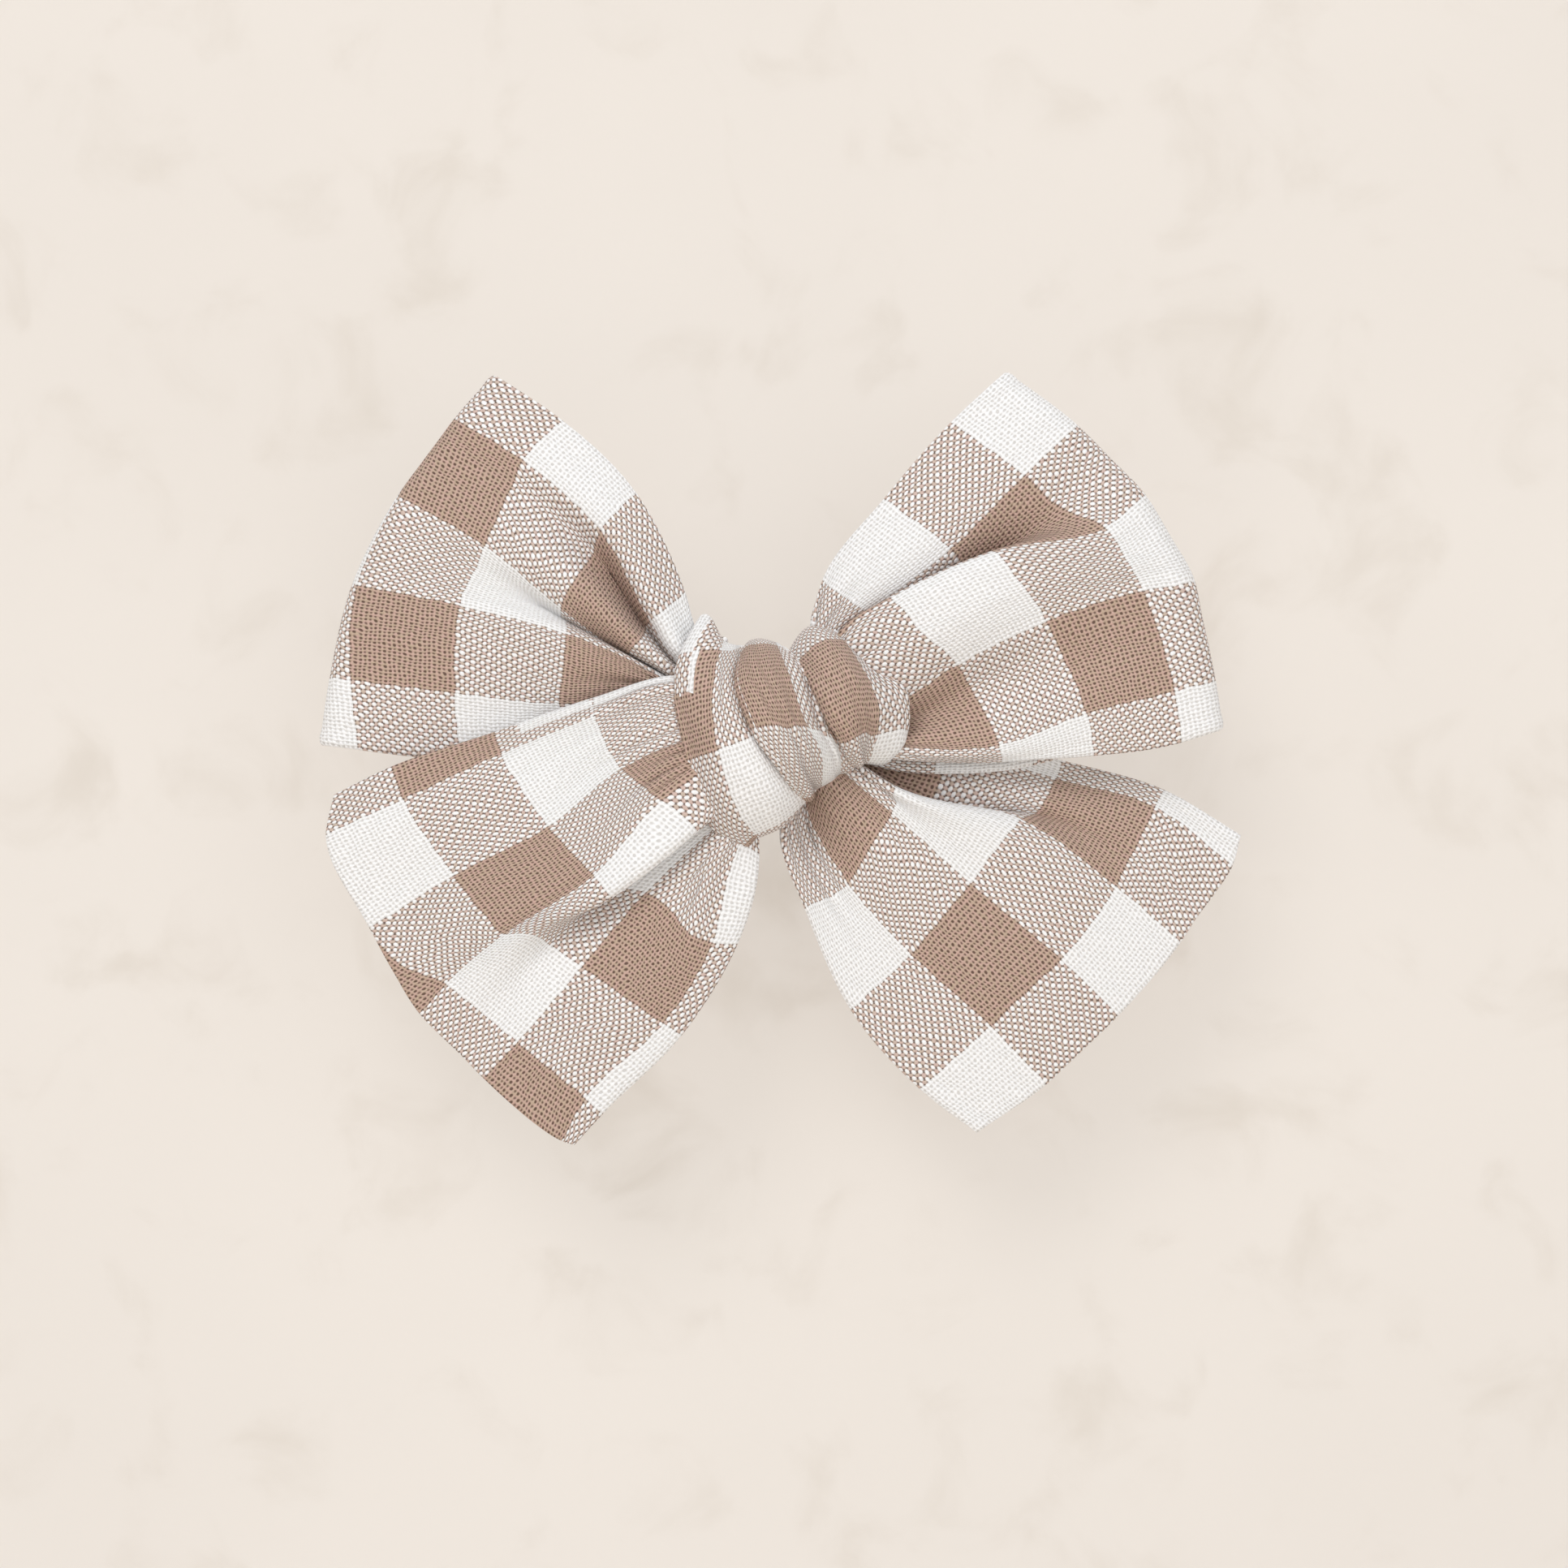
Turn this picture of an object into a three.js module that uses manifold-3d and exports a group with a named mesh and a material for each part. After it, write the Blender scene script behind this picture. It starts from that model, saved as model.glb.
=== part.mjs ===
// A hair bow on a sprung metal clip. Millimetres, +Z up, the bow's face towards -Y, the clip behind it.
// The origin is where the hair sits: on the inner face of the clip's fixed arm, straight behind the knot.
// The bow is one sewn strip of checked cloth, a face panel and a lining panel, folded into two loops above
// and two tails below, gathered at the waist with thread. A second strip, pleated in three, goes round
// the waist as the knot.
import * as THREE from "three";
import { mergeVertices } from "three/addons/utils/BufferGeometryUtils.js";
import Module from "manifold-3d";

const wasm = await Module();
wasm.setup();

// Driving dimensions
const GAP = 0.3; // clearance between pieces that rest on each other
const WALL = 1.7; // the sewn double strip as it lies in a loop's wall
const TAIL = 2.6; // a tail, with its pleats
const KNOT = { x: -0.6, z: 1.5, half_length: 11.4, half_depth: 9, tilt: 20, sides: 28 }; // tilt in degrees
// The pleats of the knot's strip, from where to where along its axis, with each one's radius seen from
// the front. The knot is a little flatter than round, because half_depth is the same for all of them.
const PLEATS = {
  knot_left_pleat: { from: -11.4, to: -3.4, radius: 11.8 },
  knot_middle_pleat: { from: -3.1, to: 2.7, radius: 9.6 },
  knot_right_pleat: { from: 3, to: 11.4, radius: 8.6 },
};
const PLEAT_ROUNDING = 1.8; // how much lower a pleat is at its edges than along its crown
const WAIST_RADIUS = 4.8;
const THREAD = { diameter: 0.5, turns: 4, pitch: 0.6 };
const ARM = { tip: -26, heel: 19, half_width: 4, thick: 0.8 };
const HINGE = { x: 9, y: 3.4, pin_radius: 0.95, hole_radius: 1.05, sides: 24 };
const RIVET = { radius: 1.6, rim_radius: 1.28, height: 0.5, off: 0.1 };
const EAR = { thick: 0.7, radius: 1.9, half_base: 3.1 };
const JAW = { half_width: 3, thick: 0.7, tip: -24, heel: 20, seat: 5.7, flat_from: 4, flat_to: 12 };
const TOOTH = { count: 4, pitch: 1.5, width: 1.2, height: 0.35, first: -23.4, root: 1.3, face: 0.95 };
const RIBBON = { thick: 0.45, half_width: 4.3, outer_end: 18.5, inner_end: -3, off: 0.1 };
const PAD = { half_length: 8, half_height: 4, seat: 1.5 };
const COIL = { radius: 1.6, turns: 3.5, half_length: 1.3, wire_radius: 0.35 };
const LEG = { end: 17, arm_end: 0.65, arm_middle: 1.15, jaw_middle: 5.25, jaw_end: 6.4 }; // x, then y

const RIBBON_OUTSIDE = -ARM.thick - RIBBON.off - RIBBON.thick; // the face that the glue holds
const KNOT_Y = RIBBON_OUTSIDE - PAD.seat - KNOT.half_depth;

// Each lobe is a four-sided patch seen from the front, in x and z from the origin.
// above and below are its long edges, from the knot to the outer corner, and end is the bend of the
// outer edge between the two corners. depth is how far the cloth stands in front of the knot's middle,
// at the knot and at the end. open is how far apart a loop's two walls stand, 0 on a tail.
const LOBES = {
  upper_left_loop: {
    above: [[-8, 9], [-12, 20], [-21, 32], [-34.7, 40.9]],
    below: [[-9, 0], [-24, -3.5], [-38, -2.5], [-54.1, -1.9]],
    end: [[-44, 31], [-53.5, 10.5]],
    depth: [-1.2, -3.4],
    open: 4.4,
  },
  upper_right_loop: {
    above: [[2.5, 9], [2, 21.5], [12, 29], [23.6, 41.1]],
    below: [[8, -2.5], [20, -3], [31, -5], [48.5, 0.1]],
    end: [[39, 31], [46.5, 18]],
    depth: [3.6, 1.8],
    open: 4.4,
  },
  lower_left_tail: {
    above: [[-8, 6.5], [-20, 6], [-38, -1.5], [-53.9, -7.6]],
    below: [[-4, -9], [-2.5, -22], [-14.5, -36], [-25.3, -46.8]],
    end: [[-51, -20], [-41, -35]],
    depth: [4.9, 2.9],
    open: 0,
  },
  lower_right_tail: {
    above: [[8, -1], [22, -0.5], [38, -2.5], [51.8, -11.5]],
    below: [[0, -8], [0, -22], [8, -35], [20.7, -45.8]],
    end: [[46, -27], [33, -38]],
    depth: [-2.8, -4.8],
    open: 0,
  },
};
const ALONG = 9; // steps from the knot to the end
const ACROSS = 6; // steps from the upper edge to the lower edge
const FOLD = 4; // steps round a loop's outer fold
const SWELL = 1.4; // how far the middle of a lobe stands proud of its edges

// Materials
const fabric = (colour) => new THREE.MeshStandardMaterial({ color: colour, roughness: 0.9, metalness: 0 });
const steelOf = (colour, rough) =>
  new THREE.MeshStandardMaterial({ color: colour, roughness: rough, metalness: 1 });
const checkedCloth = fabric(0xcbb9ab);
const ribbonCloth = fabric(0xf1ece4);
const threadCotton = fabric(0xefe9df);
const glue = new THREE.MeshStandardMaterial({ color: 0xe9e2cf, roughness: 0.45, metalness: 0 });
const clipSteel = steelOf(0xc9cacc, 0.3);
const springSteel = steelOf(0xa9abae, 0.25);

// A closed geometry as a solid for joining and cutting.
function solidOf(geometry) {
  const bare = geometry.clone();
  bare.deleteAttribute("normal");
  bare.deleteAttribute("uv");
  const merged = mergeVertices(bare, 1e-4);
  return new wasm.Manifold(
    new wasm.Mesh({
      numProp: 3,
      vertProperties: merged.attributes.position.array,
      triVerts: new Uint32Array(merged.index.array),
    }),
  );
}

// The geometry of a solid after joining and cutting.
function geometryOf(solid) {
  const mesh = solid.getMesh();
  const geometry = new THREE.BufferGeometry();
  geometry.setAttribute("position", new THREE.BufferAttribute(mesh.vertProperties, 3));
  geometry.setIndex(new THREE.BufferAttribute(mesh.triVerts, 1));
  return geometry;
}

const bow = new THREE.Group();

function addPiece(name, geometry, material) {
  const mesh = new THREE.Mesh(geometry, material);
  mesh.name = name;
  bow.add(mesh);
}

// A box between two corners.
function boxBetween(low, high) {
  const [dx, dy, dz] = high.map((value, i) => value - low[i]);
  return new THREE.BoxGeometry(dx, dy, dz).translate(low[0] + dx / 2, low[1] + dy / 2, low[2] + dz / 2);
}

// A shape in x and y made solid from z = from to z = to.
function slab(shape, from, to) {
  return new THREE.ExtrudeGeometry(shape, { depth: to - from, bevelEnabled: false }).translate(0, 0, from);
}

// A round wire or thread along a curve.
function wireAlong(curve, radius, sides, steps) {
  const section = new THREE.Shape(
    Array.from({ length: sides }, (_, i) => {
      const turn = (2 * Math.PI * i) / sides;
      return new THREE.Vector2(radius * Math.cos(turn), radius * Math.sin(turn));
    }),
  );
  return new THREE.ExtrudeGeometry(section, { extrudePath: curve, steps, bevelEnabled: false });
}

// --- Knot and waist ---------------------------------------------------------------------------------
// Turns a piece lathed about Y so that Y becomes the knot's axis, and sets it in the knot's place.
// flatten is the share of its radius that it keeps from front to back.
function toKnot(geometry, flatten = 1) {
  return geometry
    .scale(flatten, 1, 1)
    .rotateZ(-Math.PI / 2)
    .rotateY(THREE.MathUtils.degToRad(-KNOT.tilt))
    .translate(KNOT.x, KNOT_Y, KNOT.z);
}

// One pleat of the knot: a ring round the waist, rounded outside.
function pleatGeometry({ from, to, radius }) {
  const inner = WAIST_RADIUS + THREAD.diameter + GAP;
  const flatten = KNOT.half_depth / radius;
  const steps = 6;
  const profile = [new THREE.Vector2(inner / flatten, to), new THREE.Vector2(inner / flatten, from)];
  for (let i = 0; i <= steps; i++) {
    const share = i / steps;
    const rounding = PLEAT_ROUNDING * Math.abs(2 * share - 1) ** 3;
    profile.push(new THREE.Vector2(radius - rounding, from + (to - from) * share));
  }
  profile.push(profile[0].clone());
  return toKnot(new THREE.LatheGeometry(profile, KNOT.sides), flatten);
}

for (const [name, pleat] of Object.entries(PLEATS)) {
  addPiece(name, pleatGeometry(pleat), checkedCloth);
}

// The gathered middle of the bow, inside the knot, waisted where the thread pulls it in.
const waistProfile = [
  [0, -KNOT.half_length],
  [WAIST_RADIUS + THREAD.diameter, -KNOT.half_length],
  [WAIST_RADIUS + THREAD.diameter, -KNOT.half_length + 4],
  [WAIST_RADIUS - THREAD.diameter / 2, -THREAD.pitch * THREAD.turns],
  [WAIST_RADIUS - THREAD.diameter / 2, THREAD.pitch * THREAD.turns],
  [WAIST_RADIUS + THREAD.diameter, KNOT.half_length - 4],
  [WAIST_RADIUS + THREAD.diameter, KNOT.half_length],
  [0, KNOT.half_length],
].map(([radius, h]) => new THREE.Vector2(radius, h));
addPiece("bow_waist", toKnot(new THREE.LatheGeometry(waistProfile, KNOT.sides)), checkedCloth);

// The thread wound round the waist under the knot.
class Winding extends THREE.Curve {
  getPoint(t, target = new THREE.Vector3()) {
    const turn = 2 * Math.PI * THREAD.turns * t;
    const radius = WAIST_RADIUS + THREAD.diameter / 4;
    const h = THREAD.pitch * THREAD.turns * (t - 0.5);
    return target.set(radius * Math.cos(turn), h, radius * Math.sin(turn));
  }
}
const winding = wireAlong(new Winding(), THREAD.diameter / 2, 6, 18 * THREAD.turns);
addPiece("cinch_thread", toKnot(winding), threadCotton);

// --- Loops and tails --------------------------------------------------------------------------------
const curveOf = (points) => new THREE.CubicBezierCurve(...points.map((p) => new THREE.Vector2(...p)));

// The point of a lobe's patch at u from the knot to the end and v from its upper to its lower edge.
function pointInPatch(lobe, u, v) {
  const above = curveOf(lobe.above);
  const below = curveOf(lobe.below);
  const end = curveOf([lobe.above[3], ...lobe.end, lobe.below[3]]);
  const root = new THREE.Vector2().lerpVectors(above.v0, below.v0, v);
  const corners = new THREE.Vector2()
    .addScaledVector(above.v0, (1 - u) * (1 - v))
    .addScaledVector(below.v0, (1 - u) * v)
    .addScaledVector(above.v3, u * (1 - v))
    .addScaledVector(below.v3, u * v);
  return new THREE.Vector2()
    .addScaledVector(above.getPoint(u), 1 - v)
    .addScaledVector(below.getPoint(u), v)
    .addScaledVector(root, 1 - u)
    .addScaledVector(end.getPoint(v), u)
    .sub(corners);
}

// Rows of points through the middle of the cloth. A tail's rows run from the knot to the end, and a
// loop's run out along its front wall, round the fold and back along its rear wall.
function rowsOf(lobe) {
  const half = lobe.open / 2;
  const reach = 1 - half / 45; // the fold takes the last of a loop's length
  const stations = [];
  for (let i = 0; i <= ALONG; i++) {
    const u = (i / ALONG) * (half ? reach : 1);
    stations.push({ u, front: half * Math.min(1, 0.6 + u), side: 1 });
  }
  if (half) {
    const outward = [...stations];
    for (let i = 1; i < FOLD; i++) {
      const turn = (Math.PI * i) / FOLD;
      stations.push({ u: reach + (1 - reach) * Math.sin(turn), front: half * Math.cos(turn), side: 0 });
    }
    outward.reverse().forEach(({ u, front }) => stations.push({ u, front: -front, side: -1 }));
  }
  return stations.map(({ u, front, side }) =>
    Array.from({ length: ACROSS + 1 }, (_, j) => {
      const v = j / ACROSS;
      const flat = pointInPatch(lobe, u, v);
      const swell = side * SWELL * Math.sin(Math.PI * u) * Math.sin(Math.PI * v);
      const depth = lobe.depth[0] + (lobe.depth[1] - lobe.depth[0]) * u + front + swell;
      return new THREE.Vector3(flat.x, KNOT_Y - depth, flat.y);
    }),
  );
}

// The cloth between two surfaces, each half the thickness away from the rows.
function clothGeometry(rows, thickness) {
  const count = rows.length;
  const width = rows[0].length;
  const positions = [];
  const spanOf = (a, b) => new THREE.Vector3().subVectors(b, a);
  for (const offset of [-thickness / 2, thickness / 2]) {
    for (let i = 0; i < count; i++) {
      for (let j = 0; j < width; j++) {
        const along = spanOf(rows[Math.max(i - 1, 0)][j], rows[Math.min(i + 1, count - 1)][j]);
        const across = spanOf(rows[i][Math.max(j - 1, 0)], rows[i][Math.min(j + 1, width - 1)]);
        const point = rows[i][j].clone().addScaledVector(along.cross(across).normalize(), offset);
        positions.push(point.x, point.y, point.z);
      }
    }
  }
  const index = [];
  const at = (layer, i, j) => (layer * count + i) * width + j;
  const quad = (a, b, c, d) => index.push(a, b, c, a, c, d);
  for (let i = 0; i < count - 1; i++) {
    for (let j = 0; j < width - 1; j++) {
      quad(at(1, i, j), at(1, i + 1, j), at(1, i + 1, j + 1), at(1, i, j + 1));
      quad(at(0, i, j), at(0, i, j + 1), at(0, i + 1, j + 1), at(0, i + 1, j));
    }
    quad(at(0, i, 0), at(0, i + 1, 0), at(1, i + 1, 0), at(1, i, 0));
    quad(at(0, i + 1, width - 1), at(0, i, width - 1), at(1, i, width - 1), at(1, i + 1, width - 1));
  }
  for (let j = 0; j < width - 1; j++) {
    quad(at(0, 0, j + 1), at(0, 0, j), at(1, 0, j), at(1, 0, j + 1));
    quad(at(0, count - 1, j), at(0, count - 1, j + 1), at(1, count - 1, j + 1), at(1, count - 1, j));
  }
  const geometry = new THREE.BufferGeometry();
  geometry.setAttribute("position", new THREE.Float32BufferAttribute(positions, 3));
  geometry.setIndex(index);
  return geometry;
}

// The whole space of the knot and a clearance round it, which the lobes stop short of.
const knotSpaces = Object.values(PLEATS).map(({ from, to, radius }) => {
  const profile = [
    new THREE.Vector2(0, from - GAP),
    new THREE.Vector2(radius - 1, from - GAP),
    new THREE.Vector2(radius + GAP, from + 1),
    new THREE.Vector2(radius + GAP, to - 1),
    new THREE.Vector2(radius - 1, to + GAP),
    new THREE.Vector2(0, to + GAP),
  ];
  const flatten = (KNOT.half_depth + GAP) / (radius + GAP);
  return solidOf(toKnot(new THREE.LatheGeometry(profile, KNOT.sides), flatten));
});
const knotSpace = knotSpaces.reduce((all, space) => all.add(space));

for (const [name, lobe] of Object.entries(LOBES)) {
  const cloth = solidOf(clothGeometry(rowsOf(lobe), lobe.open ? WALL : TAIL));
  addPiece(name, geometryOf(cloth.subtract(knotSpace)), checkedCloth);
}

// --- Clip -------------------------------------------------------------------------------------------
// The glue between the ribbon and the knot, with its hollow that the knot lies in.
const padBlock = boxBetween(
  [-PAD.half_length, RIBBON_OUTSIDE - PAD.seat - 2, -PAD.half_height],
  [PAD.half_length, RIBBON_OUTSIDE - RIBBON.off, PAD.half_height],
);
addPiece("glue_pad", geometryOf(solidOf(padBlock).subtract(knotSpace)), glue);

// The ribbon glued round the arm: along its outside, round the tip and back along the gripping side.
const ribbonShape = new THREE.Shape();
const ribbonTip = ARM.tip - RIBBON.off;
ribbonShape.moveTo(RIBBON.outer_end, RIBBON_OUTSIDE);
ribbonShape.lineTo(RIBBON.outer_end, RIBBON_OUTSIDE + RIBBON.thick);
ribbonShape.lineTo(ribbonTip, RIBBON_OUTSIDE + RIBBON.thick);
ribbonShape.lineTo(ribbonTip, RIBBON.off);
ribbonShape.lineTo(RIBBON.inner_end, RIBBON.off);
ribbonShape.lineTo(RIBBON.inner_end, RIBBON.off + RIBBON.thick);
ribbonShape.lineTo(ribbonTip - RIBBON.thick / 2, RIBBON.off + RIBBON.thick);
ribbonShape.lineTo(ribbonTip - RIBBON.thick, RIBBON.off);
ribbonShape.lineTo(ribbonTip - RIBBON.thick, RIBBON_OUTSIDE + RIBBON.thick);
ribbonShape.lineTo(ribbonTip - RIBBON.thick / 2, RIBBON_OUTSIDE);
addPiece("lining_ribbon", slab(ribbonShape, -RIBBON.half_width, RIBBON.half_width), ribbonCloth);

// Points round the hinge's axis in x and y, from one angle to another.
function roundHinge(radius, from, to, steps) {
  return Array.from({ length: steps + 1 }, (_, i) => {
    const turn = from + ((to - from) * i) / steps;
    return new THREE.Vector2(HINGE.x + radius * Math.cos(turn), HINGE.y + radius * Math.sin(turn));
  });
}

// A hinge ear in x and y: round about the pin and widening to a base at y = base, with the pin's hole.
function earShape(base) {
  const side = Math.sign(base - HINGE.y);
  const first = side > 0 ? Math.PI : 0;
  const shape = new THREE.Shape([
    new THREE.Vector2(HINGE.x - side * EAR.half_base, base),
    ...roundHinge(EAR.radius, first, first + Math.PI, HINGE.sides / 2),
    new THREE.Vector2(HINGE.x + side * EAR.half_base, base),
  ]);
  shape.holes.push(new THREE.Path(roundHinge(HINGE.hole_radius, 0, 2 * Math.PI, HINGE.sides).slice(1)));
  return shape;
}

// Joins a pair of ears, one at each side, to a plate.
function withEars(plate, base, outside) {
  const near = solidOf(slab(earShape(base), outside - EAR.thick, outside));
  const far = solidOf(slab(earShape(base), -outside, EAR.thick - outside));
  return plate.add(near).add(far);
}

const armPlate = boxBetween([ARM.tip, -ARM.thick, -ARM.half_width], [ARM.heel, 0, ARM.half_width]);
addPiece("clip_arm", geometryOf(withEars(solidOf(armPlate), -ARM.thick / 2, ARM.half_width)), clipSteel);

// The jaw's gripping side, from its tip over the hinge to the end of its handle, in x and y.
const jawLine = [
  [JAW.tip, TOOTH.face],
  [-20, 1.05],
  [-14, 2],
  [-6, 3.75],
  [1, 5.2],
  [JAW.flat_from, JAW.seat],
  [JAW.flat_to, JAW.seat],
  [15, 6.3],
  [JAW.heel, 8.2],
];
const jawShape = new THREE.Shape([
  ...jawLine.map(([x, y]) => new THREE.Vector2(x, y)),
  ...jawLine.map(([x, y]) => new THREE.Vector2(x, y + JAW.thick)).reverse(),
]);
let jaw = withEars(
  solidOf(slab(jawShape, -JAW.half_width, JAW.half_width)),
  JAW.seat + JAW.thick / 2,
  JAW.half_width,
);
for (let i = 0; i < TOOTH.count; i++) {
  const x = TOOTH.first + i * TOOTH.pitch;
  const tooth = new THREE.Shape([
    new THREE.Vector2(x, TOOTH.root),
    new THREE.Vector2(x + TOOTH.pitch / 2, TOOTH.face - TOOTH.height / 2),
    new THREE.Vector2(x + TOOTH.width, TOOTH.root),
  ]);
  jaw = jaw.add(solidOf(slab(tooth, -JAW.half_width + GAP, JAW.half_width - GAP)));
}
addPiece("clip_jaw", geometryOf(jaw), clipSteel);

// The pin through the four ears, with a rivet head at each end.
const headFrom = ARM.half_width + RIVET.off;
const pinProfile = [
  [0, -headFrom - RIVET.height],
  [RIVET.rim_radius, -headFrom - RIVET.height],
  [RIVET.radius, -headFrom - RIVET.height / 2],
  [RIVET.radius, -headFrom],
  [HINGE.pin_radius, -headFrom],
  [HINGE.pin_radius, headFrom],
  [RIVET.radius, headFrom],
  [RIVET.radius, headFrom + RIVET.height / 2],
  [RIVET.rim_radius, headFrom + RIVET.height],
  [0, headFrom + RIVET.height],
].map(([radius, z]) => new THREE.Vector2(radius, z));
const pin = new THREE.LatheGeometry(pinProfile, HINGE.sides).rotateX(Math.PI / 2);
addPiece("hinge_pin", pin.translate(HINGE.x, HINGE.y, 0), clipSteel);

// The spring: a leg along the arm, a coil round the pin and a leg under the jaw's handle.
const springPoints = [];
const coilSteps = 12 * COIL.turns;
const legMiddle = (LEG.end + HINGE.x) / 2;
springPoints.push(new THREE.Vector3(LEG.end, LEG.arm_end, -COIL.half_length));
springPoints.push(new THREE.Vector3(legMiddle, LEG.arm_middle, -COIL.half_length));
for (let i = 0; i <= coilSteps; i++) {
  const turn = -Math.PI / 2 - (2 * Math.PI * COIL.turns * i) / coilSteps;
  const z = COIL.half_length * ((2 * i) / coilSteps - 1);
  const x = HINGE.x + COIL.radius * Math.cos(turn);
  springPoints.push(new THREE.Vector3(x, HINGE.y + COIL.radius * Math.sin(turn), z));
}
springPoints.push(new THREE.Vector3(legMiddle, LEG.jaw_middle, COIL.half_length));
springPoints.push(new THREE.Vector3(LEG.end, LEG.jaw_end, COIL.half_length));
const springCurve = new THREE.CatmullRomCurve3(springPoints, false, "centripetal");
addPiece("clip_spring", wireAlong(springCurve, COIL.wire_radius, 8, 2 * coilSteps), springSteel);

export default bow;
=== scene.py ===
"""A hair bow of checked cloth on a sprung metal clip.

The bow is one sewn strip that lies in two loops above and two tails below. A second strip is pleated in
three and tied round its waist as the knot. Lengths are millimetres while a piece is being shaped, and
metres once it is a mesh. The bow's face is towards -Y, +Z is up and the clip is behind.
"""

import logging
import math
from collections.abc import Sequence
from dataclasses import dataclass, field
from enum import Enum

import bpy
import numpy as np
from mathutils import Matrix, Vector, noise

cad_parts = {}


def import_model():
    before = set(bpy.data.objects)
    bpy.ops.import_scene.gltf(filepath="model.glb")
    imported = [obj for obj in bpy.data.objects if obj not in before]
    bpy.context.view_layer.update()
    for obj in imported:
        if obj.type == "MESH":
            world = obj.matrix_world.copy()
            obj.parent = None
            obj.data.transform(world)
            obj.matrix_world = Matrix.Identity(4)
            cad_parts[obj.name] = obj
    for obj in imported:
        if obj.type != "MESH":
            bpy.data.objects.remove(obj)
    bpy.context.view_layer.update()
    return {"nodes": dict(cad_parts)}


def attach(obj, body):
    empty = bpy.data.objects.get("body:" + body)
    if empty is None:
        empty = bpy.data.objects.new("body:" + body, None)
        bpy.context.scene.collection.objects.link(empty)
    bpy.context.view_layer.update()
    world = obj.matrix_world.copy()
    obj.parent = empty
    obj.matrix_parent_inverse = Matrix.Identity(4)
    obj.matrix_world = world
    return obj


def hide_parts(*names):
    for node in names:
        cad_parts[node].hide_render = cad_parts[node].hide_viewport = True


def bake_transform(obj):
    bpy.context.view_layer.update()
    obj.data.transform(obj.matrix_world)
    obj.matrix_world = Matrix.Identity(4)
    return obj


log = logging.getLogger("hair_bow")

MM = 0.001
KNOT_MIDDLE_Y = -11.85
STRIP_THICK = 0.9
CHECK_ALONG = 12.0
CHECK_ACROSS = 11.2
LINING_SHIFT = np.array([7.0, 4.0])


class Lay(Enum):
    """How a lobe of the strip ends at its outer edge."""

    LOOP = "folded back on itself"
    TAIL = "hemmed"


class Edge(Enum):
    """What a knot pleat's long edge does."""

    ROLLED = "turned under itself"
    TUCKED = "runs under its neighbour"


class Stance(Enum):
    """How a studio panel stands."""

    WALL = "upright, facing the camera"
    FLOOR = "flat, facing up"


class Slot(Enum):
    """The record's material slots."""

    CLOTH = "checked_cloth"
    RIBBON = "ribbon_cloth"
    THREAD = "thread"
    GLUE = "glue"
    CLIP = "clip_steel"
    SPRING = "spring_steel"


# ---------------------------------------------------------------- curves and cloth surfaces


def smooth_through(knots: Sequence[float], values: np.ndarray, at: np.ndarray) -> np.ndarray:
    """Values of the smooth curve that passes through every knot.

    Args:
        knots: Rising places of the known values.
        values: One row for each knot.
        at: Places to read the curve at.

    Returns:
        One row for each place.
    """
    knots = np.asarray(knots, float)
    values = np.asarray(values, float)
    tail = (1,) * (values.ndim - 1)
    gaps = np.diff(knots).reshape(-1, *tail)
    secants = np.diff(values, axis=0) / gaps
    slopes = np.empty_like(values)
    slopes[0], slopes[-1] = secants[0], secants[-1]
    slopes[1:-1] = (secants[:-1] * gaps[1:] + secants[1:] * gaps[:-1]) / (gaps[:-1] + gaps[1:])
    span = np.clip(np.searchsorted(knots, at, side="right") - 1, 0, len(knots) - 2)
    gap = gaps[span]
    w = (np.asarray(at, float) - knots[span]).reshape(-1, *tail) / gap
    start = values[span] * (1 + 2 * w) * (1 - w) ** 2 + slopes[span] * gap * w * (1 - w) ** 2
    end = values[span + 1] * w**2 * (3 - 2 * w) + slopes[span + 1] * gap * w**2 * (w - 1)
    return start + end


def edge_spacing(length: float, step: float, round_start: float, round_end: float) -> np.ndarray:
    """Places along a length, close together where the cloth turns over at its ends.

    Args:
        length: The whole length.
        step: The even spacing between the ends.
        round_start: Radius of the turn at the start.
        round_end: Radius of the turn at the end.

    Returns:
        Rising places from 0 to length.
    """
    turn = 1 - np.cos(np.linspace(0, math.pi / 2, 5))
    middle = length - round_start - round_end
    even = np.linspace(0, middle, max(4, round(middle / step)) + 1) + round_start
    return np.concatenate([round_start * turn[:-1], even, (length - round_end * turn[:-1])[::-1]])


def round_off(places: np.ndarray, length: float, radius: float) -> np.ndarray:
    """A round nose at both ends of a length: 0 at the ends, 1 past the radius."""
    inside = np.clip(np.minimum(places, length - places) / radius, 0, 1)
    return np.sqrt(np.clip(1 - (1 - inside) ** 2, 0, 1))


def smooth_step(x: np.ndarray) -> np.ndarray:
    """An eased rise from 0 to 1, flat outside."""
    x = np.clip(x, 0, 1)
    return x * x * (3 - 2 * x)


@dataclass(frozen=True)
class Hem:
    """A strip along a seam where the turned cloth shows, so that the check jumps.

    It lies from start to end across the strip, from the place above along it onwards.
    """

    start: float
    end: float
    above: float
    jump: tuple[float, float]


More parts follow.
